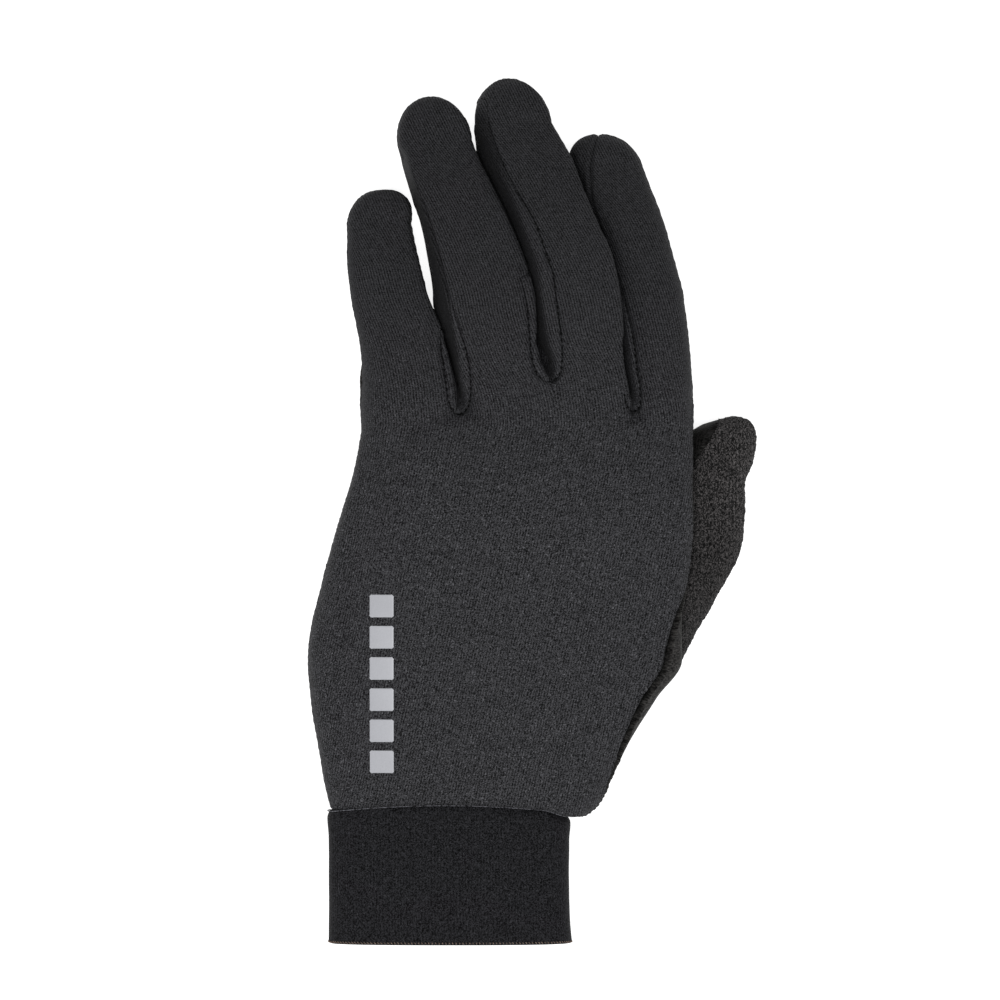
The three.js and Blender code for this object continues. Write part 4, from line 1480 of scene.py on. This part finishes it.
def thumb_sheet(on_back):
    """One of the thumb's two panels as a grid from its foot to its tip."""
    last = THUMB[-1, 0]
    rings = []
    for y in np.linspace(THUMB[0, 0], last, THUMB_ALONG):
        x, z = section_points(row_at(THUMB, y), thumb_angles(y, on_back), THUMB_SECTION_ROUND)
        rings.append(np.stack([x, np.full_like(x, y), z], 1))
    # Towards the tip the rings lie closer together.
    for t in np.sin(np.linspace(0, 1, THUMB_ALONG // 5 + 2)[1:] * math.pi / 2) ** 0.75:
        angles = thumb_angles(last + THUMB_CAP * t, on_back)
        x, z = section_points(THUMB[-1, 1:], angles, THUMB_SECTION_ROUND,
                              size=max(thumb_narrowing(t), 0.01))
        slant = THUMB_TIP_SLANT * np.maximum(0.0, THUMB_SLANT_FROM - x)
        rings.append(np.stack([x, last + (THUMB_CAP - slant) * t, z], 1))
    grid = np.array(rings)
    index = np.arange(grid.shape[0] * grid.shape[1]).reshape(grid.shape[:2])
    a, b = index[:-1, :-1].ravel(), index[:-1, 1:].ravel()
    c, d = index[1:, 1:].ravel(), index[1:, :-1].ravel()
    return grid.reshape(-1, 3), np.concatenate([np.stack([a, c, b], 1), np.stack([a, d, c], 1)])


def thumb_seams():
    """Dense points along the thumb's two seams."""
    seam = []
    for y in np.arange(*THUMB_SEWN):
        angles = np.radians([row_at(THUMB_SEAM, y)[0], THUMB_OUTER_SEAM])
        narrowing = thumb_narrowing(max(0.0, (y - THUMB[-1, 0]) / THUMB_CAP))
        x, z = section_points(row_at(THUMB, y), angles, THUMB_SECTION_ROUND, size=narrowing)
        seam.append(np.stack([x, np.full(2, y), z], 1))
    return np.concatenate(seam)


def waved(points, normals, waves):
    """Points moved along their normals by waves of cloth: depth, length and seed of each."""
    wave = sum(depth * lumps(*points.T, length, seed) for depth, length, seed in waves)
    return points + normals * wave[:, None]


class GLOVE_OT_thumb(bpy.types.Operator):
    """Make the thumb's towelling back and its smooth inner side"""

    bl_idname = "glove.thumb"
    bl_label = "Thumb"

    def execute(self, context):
        size = sizes()
        looks = [
            ("thumb_back", "towelling", towelling_material("towelling", colours().towelling)),
            ("thumb_front", "palm_jersey", bpy.data.materials["palm jersey"]),
        ]
        for name, slot, material in looks:
            on_back = name == "thumb_back"
            points, triangles = thumb_sheet(on_back)
            labels = np.zeros(len(triangles), int)
            for level in THUMB_LEVELS:
                value = finger_and_palm(INDEX_FINGER, *points.T)
                before = len(points)
                points, triangles, labels, _ = cut_along(points, triangles, labels, value, level)
                if level == THUMB_FOOT:
                    foot = points[before:]
            value = finger_and_palm(INDEX_FINGER, *points.T)
            triangles = triangles[value[triangles].mean(1) > THUMB_FOOT]
            normals = point_normals(points, triangles)
            border = np.concatenate([foot, thumb_seams()])
            points = waved(points, normals, THUMB_WAVES)
            points = shrink_seams(points, normals, border, size.seam_depth / MM,
                                  size.seam_width / MM, size.stitch / MM)
            if on_back:
                points = waved(points, normals, PILE_WAVES)
            points[:, 2] = FLOOR_GAP + soft_positive(points[:, 2])
            sheet, faces, _ = walled(points, normals, triangles, size.wall / MM)
            knit = sheet * MM
            if not on_back:
                centre_x, centre_z = THUMB_WALE_CENTRE
                knit[:, 0] = np.hypot(sheet[:, 0] - centre_x, centre_z - sheet[:, 2]) * MM
            # The inner panel gets painted shade.
            deep = np.full(len(sheet), 0.0 if on_back else THUMB_SHADE)
            obj = piece_from(name + "_cloth", sheet, faces.tolist(), {"knit": knit, "deep": deep})
            finish_piece(obj, slot, material, name, sharp=RIM_ANGLE)
        return {"FINISHED"}


# The cuff

# How many points the cuff has round it, down its outside, round its hem and up its inside.
CUFF_AROUND, CUFF_DOWN, CUFF_TURN, CUFF_UP = 300, 64, 9, 40
# How much of the hand's unevenness the cuff's outside and inside have.
OUTER_WAVE, INNER_WAVE = 0.9, 0.4
# How deep the top edge is drawn in where it is sewn to the hand, how far down that reaches, and
# how far off the hand it lies.
DRAWN_EDGE, DRAWN_DOWN = 0.5, 1.1
CUFF_GAP = 0.15


def cuff_wave(x, y, z):
    """The cuff's unevenness, in shorter waves than the hand's."""
    return rumple(x * 1.3, y * 1.2, z)


class GLOVE_OT_cuff(bpy.types.Operator):
    """Make the doubled elastic cuff with its rounded hem"""

    bl_idname = "glove.cuff"
    bl_label = "Cuff"

    def execute(self, context):
        wall = sizes().cuff_wall / MM
        angles = np.linspace(-math.pi / 2, 1.5 * math.pi, CUFF_AROUND, endpoint=False)
        across, up = np.cos(angles), np.sin(angles)
        # Rows run down the outside, round the hem and up the inside: share of length, inset.
        rows = [(share, 0.0) for share in np.linspace(0, 1, CUFF_DOWN)]
        rows += [(1 + math.sin(t) * 0.5 * wall / CUFF_LENGTH, wall / 2 * (1 - math.cos(t)))
                 for t in np.linspace(0, math.pi, CUFF_TURN)[1:-1]]
        rows += [(share, wall) for share in np.linspace(1, 0, CUFF_UP)]
        rings = []
        for share, inset in rows:
            row = row_at(CUFF, CUFF_TOP + (CUFF_END - CUFF_TOP) * share)
            x, z = section_points(row, angles, CUFF_SECTION_ROUND, inset)
            arc = wrist_line(x, z) + CUFF_GAP
            y = arc + (HEM_Y - arc) * share
            wave = cuff_wave(x, y, z) * (OUTER_WAVE if inset == 0 else INNER_WAVE)
            # The top edge is drawn in where it is sewn to the hand.
            if inset < wall / 2:
                wave = wave - DRAWN_EDGE * math.exp(
                    -((share * CUFF_SHOWN / DRAWN_DOWN) ** 2))
            x, z = x + across * wave, z + up * wave
            # The outside and the fold rest on the floor, and the inside on the wall below it.
            if inset < wall * 0.75:
                z = FLOOR_GAP + soft_positive(z)
            else:
                z = wall + soft_positive(z - wall)
            rings.append(np.stack([x, y, z], 1))
        grid = np.array(rings)
        n = len(grid)
        index = np.arange(n * CUFF_AROUND).reshape(n, CUFF_AROUND)
        following = np.roll(index, -1, axis=1)
        faces = np.stack([index, following, np.roll(following, -1, axis=0),
                          np.roll(index, -1, axis=0)], 2).reshape(-1, 4)
        points = grid.reshape(-1, 3)
        round_cuff = np.tile(lengths_along(grid[n // 4]), n)
        knit = np.stack([round_cuff, points[:, 1], np.zeros(len(points))], 1) * MM
        obj = piece_from("cuff_knit", points, faces.tolist(), {"knit": knit})
        material = knit_material("elastic knit", colours().cuff, wale=0.85, course=0.62,
                                 ribs=(0.15, 0.15), pepper=(2.0, 2.0), fleck=0.5, grain=0.8,
                                 cell=(0.24, 0.26), relief=0.1, shine=0.3)
        finish_piece(obj, "elastic_knit", material, "cuff")
        return {"FINISHED"}


# Threads and bars

UP = (0.0, 0.0, 1.0)
# A longer step of the line than this is a jump, and no stitch is sewn over it.
LONGEST_STEP = 1.2
# The y between which the seams along the hand's edges are sewn, and how close their points are.
EDGE_STITCHED = (-81, 24, 0.5)
# How far up and how far aside the surface is looked for, and how often that is halved.
RAY_UP, RAY_ASIDE = 40, 70
HALVINGS = 26
# The share of a stitch that shows, and how high and deep it bows, in radii of the thread.
STITCH_SHOWS = 0.5
# Lines are laid onto the mean of this many points of the surface, found within this distance.
NEIGHBOURS, NEIGHBOUR_REACH = 6, 3
# From which y on a place lies on a finger rather than on the palm.
FINGERS_BEGIN = 30
STITCH_BOW, STITCH_SUNK, STITCH_TIP = 1.1, 0.35, 0.3


def stitch_mesh(name, runs, radius, sides=6, rows=6):
    """Short bowed threads with rounded ends. runs holds (start, end, outward) in millimetres."""
    points, faces = [], []
    for start, end, outward in runs:
        along = end - start
        length = np.linalg.norm(along)
        along = along / length
        side = np.cross(along, outward)
        side /= np.linalg.norm(side)
        out = np.cross(side, along)
        base = len(points)
        for i in range(rows):
            t = i / (rows - 1)
            bow = math.sin(math.pi * t)
            rise = bow * STITCH_BOW * radius - STITCH_SUNK * radius
            centre = start + along * length * t + out * rise
            girth = radius * STITCH_TIP
            if 0 < i < rows - 1:
                girth = radius * (STITCH_SUNK + (1 - STITCH_SUNK) * math.sqrt(bow))
            for j in range(sides):
                angle = 2 * math.pi * j / sides
                points.append(centre + (side * math.cos(angle) + out * math.sin(angle)) * girth)
        for i in range(rows - 1):
            for j in range(sides):
                a, b = base + i * sides + j, base + i * sides + (j + 1) % sides
                faces.append([a, b, b + sides, a + sides])
        faces.append([base + j for j in reversed(range(sides))])
        faces.append([base + (rows - 1) * sides + j for j in range(sides)])
    obj = piece_from(name, points, faces)
    face_outwards(obj)
    return obj


def on_surface(finger, starts, directions, reach):
    """Where rays that start inside the hand with one of its fingers leave it."""
    low, high = np.zeros(len(starts)), np.full(len(starts), float(reach))
    for _ in range(HALVINGS):
        middle = (low + high) / 2
        inside = finger_and_palm(finger, *(starts + directions * middle[:, None]).T) < 0
        low, high = np.where(inside, middle, low), np.where(inside, high, middle)
    return starts + directions * high[:, None]


def top_of_hand(k, plan):
    """Puts plan points on top of the hand with finger k."""
    rows = column_values(FINGERS[k], plan[:, 1])
    hand = column_values(HAND, plan[:, 1])
    middle = np.where(plan[:, 1] > FINGERS_BEGIN, (rows[:, 2] + rows[:, 3]) / 2,
                      (hand[:, 2] + hand[:, 3]) / 2)
    starts = np.stack([plan[:, 0], plan[:, 1], middle], 1)
    return on_surface(k, starts, np.tile(UP, (len(plan), 1)), RAY_UP)


def runs_along(line, normals, stitch):
    """Cuts a dense line into stitches: start, end and outward direction of each."""
    lengths = lengths_along(line)
    steps = np.diff(lengths)
    runs = []

    def at(place, values):
        return np.array([np.interp(place, lengths, values[:, i]) for i in range(3)])

    for begin in np.arange(0.3, lengths[-1] - stitch, stitch):
        span = (lengths[1:] > begin) & (lengths[:-1] < begin + stitch)
        if steps[span].max() > LONGEST_STEP:
            continue
        out = at(begin, normals)
        runs.append((at(begin, line), at(begin + stitch * STITCH_SHOWS, line),
                     out / np.linalg.norm(out)))
    return runs


def lay_down(line, lift):
    """Moves a line onto the finished surface of the hand. Returns its places and normals."""
    points, normals = SURFACE["hand"]
    low, high = line.min(0) - NEIGHBOUR_REACH, line.max(0) + NEIGHBOUR_REACH
    near = np.flatnonzero(((points > low) & (points < high)).all(1))
    tree = tree_of(points[near])
    places, ups = [], []
    for place in line:
        index = near[[i for _, i, _ in tree.find_n(place, NEIGHBOURS)]]
        up = normals[index].mean(0)
        up /= np.linalg.norm(up)
        height = ((points[index] - place) @ up).min()
        places.append(place + up * (height + lift))
        ups.append(up)
    return np.array(places), np.array(ups)


def strip_lines():
    """The stitched parts of the strips' seams: the finger that each lies on, and its plan."""
    for k in range(3):
        seam, _ = outline_of_strip(k, 0.4)
        bottom = int(np.argmin(seam[:, 1]))
        halves = seam[: bottom + 1], seam[bottom:]
        for finger, part, limit in zip((k, k + 1), halves, STITCHED_TO[k]):
            part = part[part[:, 1] < limit]
            rows = column_values(FINGERS[finger], part[:, 1])
            inside = np.minimum(part[:, 0] - rows[:, 0], rows[:, 1] - part[:, 0])
            yield finger, part[(inside > STITCH_MARGIN) | (part[:, 1] < UNHIDDEN_BELOW)]


class GLOVE_OT_seam_stitches(bpy.types.Operator):
    """Sew the U-shaped seams between the fingers and the seam beside the thumb"""

    bl_idname = "glove.seam_stitches"
    bl_label = "Seam stitches"

    def execute(self, context):
        stitch, radius = sizes().stitch / MM, sizes().thread / MM
        runs = []
        for finger, part in strip_lines():
            line, ups = lay_down(top_of_hand(finger, part), 0.6 * radius)
            runs += runs_along(line, ups, stitch)
        y = np.arange(*EDGE_STITCHED)
        rows, seams = column_values(HAND, y), column_values(EDGE_SEAM, y)
        for column, sign, finger in ((1, 1.0, INDEX_FINGER), (0, -1.0, 0)):
            starts = np.stack([(rows[:, 0] + rows[:, 1]) / 2, y, seams[:, column]], 1)
            outward = np.tile([sign, 0.0, 0.0], (len(y), 1))
            line, ups = lay_down(on_surface(finger, starts, outward, RAY_ASIDE), 0.0)
            runs += runs_along(line, ups, stitch)
        obj = stitch_mesh("seam_stitches", runs, radius)
        finish_piece(obj, "strip_jersey", thread_material("seam thread", colours().thread))
        return {"FINISHED"}


# The hem's stitches run over the fold from one y and distance outwards to another, and lean by a
# few points of the ring. None is sewn so near the floor that it would be squashed.
HEM_RING = 2400
HEM_OVER, HEM_UNDER = (-119.0, 0.08), (-119.6, -0.1)
HEM_LEAN = 6
HEM_LOWEST = 0.6
# The thin light line where the elastic's edge shows at the seam, pale partly from light thread at
# the seam and partly as a painted highlight on the elastic's folded edge: the y and the distance
# outwards of its ring, how far above the wrist's line it lies, its radius, every how many points of
# the ring it has one, and how many sides.
EDGE_LINE = (-83.5, -0.12)
EDGE_ABOVE, EDGE_RADIUS, EDGE_EVERY, EDGE_SIDES = 0.05, 0.14, 4, 6


def cuff_ring(y, outward):
    """A dense ring round the cuff's outside, at a y and a distance outwards."""
    angles = np.linspace(0, 2 * math.pi, HEM_RING, endpoint=False)
    x, z = section_points(row_at(CUFF, y), angles, CUFF_SECTION_ROUND)
    wave = cuff_wave(x, y, z) * OUTER_WAVE + outward
    x, z = x + np.cos(angles) * wave, z + np.sin(angles) * wave
    return np.stack([x, np.full_like(x, y), FLOOR_GAP + soft_positive(z)], 1)


def cuff_edge_line():
    """The thin line round the cuff's top, as points and faces."""
    ring = cuff_ring(*EDGE_LINE)
    ring[:, 1] = wrist_line(ring[:, 0], ring[:, 2]) + EDGE_ABOVE
    ring = ring[::EDGE_EVERY]
    n = len(ring)
    points, faces = [], []
    for i, place in enumerate(ring):
        out = place - np.array([CUFF_MIDDLE[0], place[1], CUFF_MIDDLE[1]])
        out /= np.linalg.norm(out)
        for j in range(EDGE_SIDES):
            angle = 2 * math.pi * j / EDGE_SIDES
            direction = out * math.cos(angle) + np.array([0, 1.0, 0]) * math.sin(angle)
            points.append(place + EDGE_RADIUS * direction)
            here, there = i * EDGE_SIDES, (i + 1) % n * EDGE_SIDES
            following = (j + 1) % EDGE_SIDES
            faces.append([here + j, here + following, there + following, there + j])
    return points, faces


class GLOVE_OT_hem_stitches(bpy.types.Operator):
    """Sew the overlock stitches over the hem, and the line along the cuff's seam"""

    bl_idname = "glove.hem_stitches"
    bl_label = "Hem stitches"

    def execute(self, context):
        spacing, radius = sizes().hem_stitch / MM, sizes().hem_thread / MM
        high, low = cuff_ring(*HEM_OVER), cuff_ring(*HEM_UNDER)
        lengths = np.cumsum(np.linalg.norm(np.roll(low, -1, axis=0) - low, axis=1))
        runs = []
        for at in np.arange(0, lengths[-1], spacing):
            i = min(int(np.searchsorted(lengths, at)), HEM_RING - 1)
            if low[i, 2] < HEM_LOWEST:
                continue
            outward = low[i] - np.array([CUFF_MIDDLE[0], 0.0, CUFF_MIDDLE[1]])
            outward[1] = -0.3
            runs.append((high[(i + HEM_LEAN) % HEM_RING], low[i],
                         outward / np.linalg.norm(outward)))
        obj = stitch_mesh("hem_stitches", runs, radius, sides=5, rows=5)
        finish_piece(obj, "elastic_knit", thread_material("hem thread", colours().hem))
        line = piece_from("cuff_seam_edge", *cuff_edge_line())
        face_outwards(line)
        # Pale: partly light thread, partly a painted highlight on the folded edge.
        pale = [c * 6.0 for c in colours().cuff]
        finish_piece(line, "elastic_knit", thread_material("cuff edge", pale, 0.9))
        return {"FINISHED"}


# The generic reflective bars: their x, the y of the first, the step to the next, their number,
# half their width and length, the radius of their corners, and how far they stand off the cloth.
BAR_X, BAR_Y, BAR_STEP, BAR_COUNT = -41.3, -26.0, -8.6, 6
BAR_HALF_WIDTH, BAR_HALF_LENGTH, BAR_CORNER = 3.4, 3.2, 0.9
BAR_LIFT, BAR_RIM_SUNK = 0.09, -0.05
BAR_POINTS = 24


def bar_plan():
    """The points of a bar in plan, a square grid whose corners are pulled in to be round."""
    u = np.linspace(-1, 1, BAR_POINTS)
    x, y = np.meshgrid(u * BAR_HALF_WIDTH, u * BAR_HALF_LENGTH, indexing="ij")
    flat_x, flat_y = BAR_HALF_WIDTH - BAR_CORNER, BAR_HALF_LENGTH - BAR_CORNER
    over = np.maximum(np.abs(x) - flat_x, 0), np.maximum(np.abs(y) - flat_y, 0)
    far = np.hypot(*over)
    scale = np.where(far > 0, np.maximum(*over) / np.maximum(far, 1e-9), 1.0)
    x = np.sign(x) * (np.minimum(np.abs(x), flat_x) + over[0] * scale)
    y = np.sign(y) * (np.minimum(np.abs(y), flat_y) + over[1] * scale)
    return x.ravel(), y.ravel()


class GLOVE_OT_reflective_bars(bpy.types.Operator):
    """Lay plain reflective bars on the back of the hand"""

    bl_idname = "glove.reflective_bars"
    bl_label = "Reflective bars"

    def execute(self, context):
        points, faces = [], []
        x, y = bar_plan()
        edge = np.minimum(BAR_HALF_WIDTH - np.abs(x), BAR_HALF_LENGTH - np.abs(y))
        lift = np.where(edge < 0.02, BAR_RIM_SUNK, BAR_LIFT)
        index = np.arange(BAR_POINTS**2).reshape(BAR_POINTS, BAR_POINTS)
        squares = np.stack([index[:-1, :-1], index[1:, :-1], index[1:, 1:], index[:-1, 1:]],
                           2).reshape(-1, 4)
        for i in range(BAR_COUNT):
            top = top_of_hand(0, np.stack([BAR_X + x, BAR_Y + BAR_STEP * i + y], 1))
            normal = slope_of(lambda *p: finger_and_palm(0, *p), top)
            normal /= np.linalg.norm(normal, axis=1, keepdims=True)
            faces.extend((squares + len(points)).tolist())
            points.extend(top + normal * lift[:, None])
        obj = piece_from("reflective_bars", points, faces)
        finish_piece(obj, "back_jersey",
                     reflective_material("reflective film", colours().reflective))
        return {"FINISHED"}


# Stage

FLOOR_SIZE, FLOOR_BELOW = 6.0, -0.0002
WORLD_LIGHT = 0.6
KEY_PLACE, KEY_SIZE = (-0.1, -0.55, 2.6), 1.2
# The camera looks straight down: its place, the height at which the picture's scale is right, and
# the width of the picture there.
CAMERA_PLACE = (-0.00872, 0.00318, 2.4)
SCALE_HEIGHT, PICTURE_WIDTH = 0.02, 0.2768
SENSOR = 36.0


class GLOVE_OT_stage(bpy.types.Operator):
    """Set the pale floor, the soft light and the camera"""

    bl_idname = "glove.stage"
    bl_label = "Stage"

    def execute(self, context):
        scene = context.scene
        stage = scene.glove_stage
        bpy.ops.object.select_all(action="DESELECT")
        bpy.ops.mesh.primitive_plane_add(size=FLOOR_SIZE, location=(0, 0, FLOOR_BELOW))
        floor = context.active_object
        floor.name = "floor"
        s = Shading("floor")
        s.set(Base_Color=(*stage.floor, 1.0), Roughness=0.9, Specular_IOR_Level=0.1,
              Emission_Color=(1.0, 1.0, 1.0, 1.0), Emission_Strength=stage.glow)
        floor.data.materials.append(s.material)
        world = bpy.data.worlds.new("studio")
        world.use_nodes = True
        background = world.node_tree.nodes["Background"]
        background.inputs[0].default_value = (1, 1, 1, 1)
        background.inputs[1].default_value = WORLD_LIGHT
        scene.world = world
        light = bpy.data.lights.new("key", "AREA")
        light.shape = "DISK"
        light.size = KEY_SIZE
        light.energy = stage.light
        key = bpy.data.objects.new("key", light)
        key.location = KEY_PLACE
        key.rotation_euler = (-key.location).to_track_quat("-Z", "Y").to_euler()
        lens = bpy.data.cameras.new("camera")
        lens.sensor_width = SENSOR
        lens.lens = SENSOR * (CAMERA_PLACE[2] - SCALE_HEIGHT) / PICTURE_WIDTH
        lens.clip_end = 20.0
        camera = bpy.data.objects.new("camera", lens)
        camera.location = CAMERA_PLACE
        for obj in (key, camera):
            scene.collection.objects.link(obj)
        scene.camera = camera
        scene.view_settings.view_transform = "Standard"
        return {"FINISHED"}


OPERATORS = (
    GLOVE_OT_hand, GLOVE_OT_thumb, GLOVE_OT_cuff, GLOVE_OT_seam_stitches,
    GLOVE_OT_hem_stitches, GLOVE_OT_reflective_bars, GLOVE_OT_stage,
)


class GLOVE_PT_panel(bpy.types.Panel):
    """Settings and steps of the running glove"""

    bl_idname = "GLOVE_PT_panel"
    bl_label = "Running glove"
    bl_space_type = "VIEW_3D"
    bl_region_type = "UI"
    bl_category = "Glove"

    def draw(self, context):
        for group in ("glove_sizes", "glove_colours", "glove_stage"):
            box = self.layout.box()
            settings = getattr(context.scene, group)
            for key in settings.__annotations__:
                box.prop(settings, key)
        for step in OPERATORS:
            self.layout.operator(step.bl_idname)


GROUPS = {"glove_sizes": GloveSizes, "glove_colours": GloveColours, "glove_stage": GloveStage}
CLASSES = (*GROUPS.values(), *OPERATORS, GLOVE_PT_panel)


def register():
    for cls in CLASSES:
        bpy.utils.register_class(cls)
    for name, group in GROUPS.items():
        setattr(bpy.types.Scene, name, bpy.props.PointerProperty(type=group))


def unregister():
    for name in GROUPS:
        delattr(bpy.types.Scene, name)
    for cls in reversed(CLASSES):
        bpy.utils.unregister_class(cls)


def main():
    register()
    bpy.ops.glove.hand()
    bpy.ops.glove.thumb()
    bpy.ops.glove.cuff()
    bpy.ops.glove.seam_stitches()
    bpy.ops.glove.hem_stitches()
    bpy.ops.glove.reflective_bars()
    bpy.ops.glove.stage()


if __name__ == "__main__":
    main()
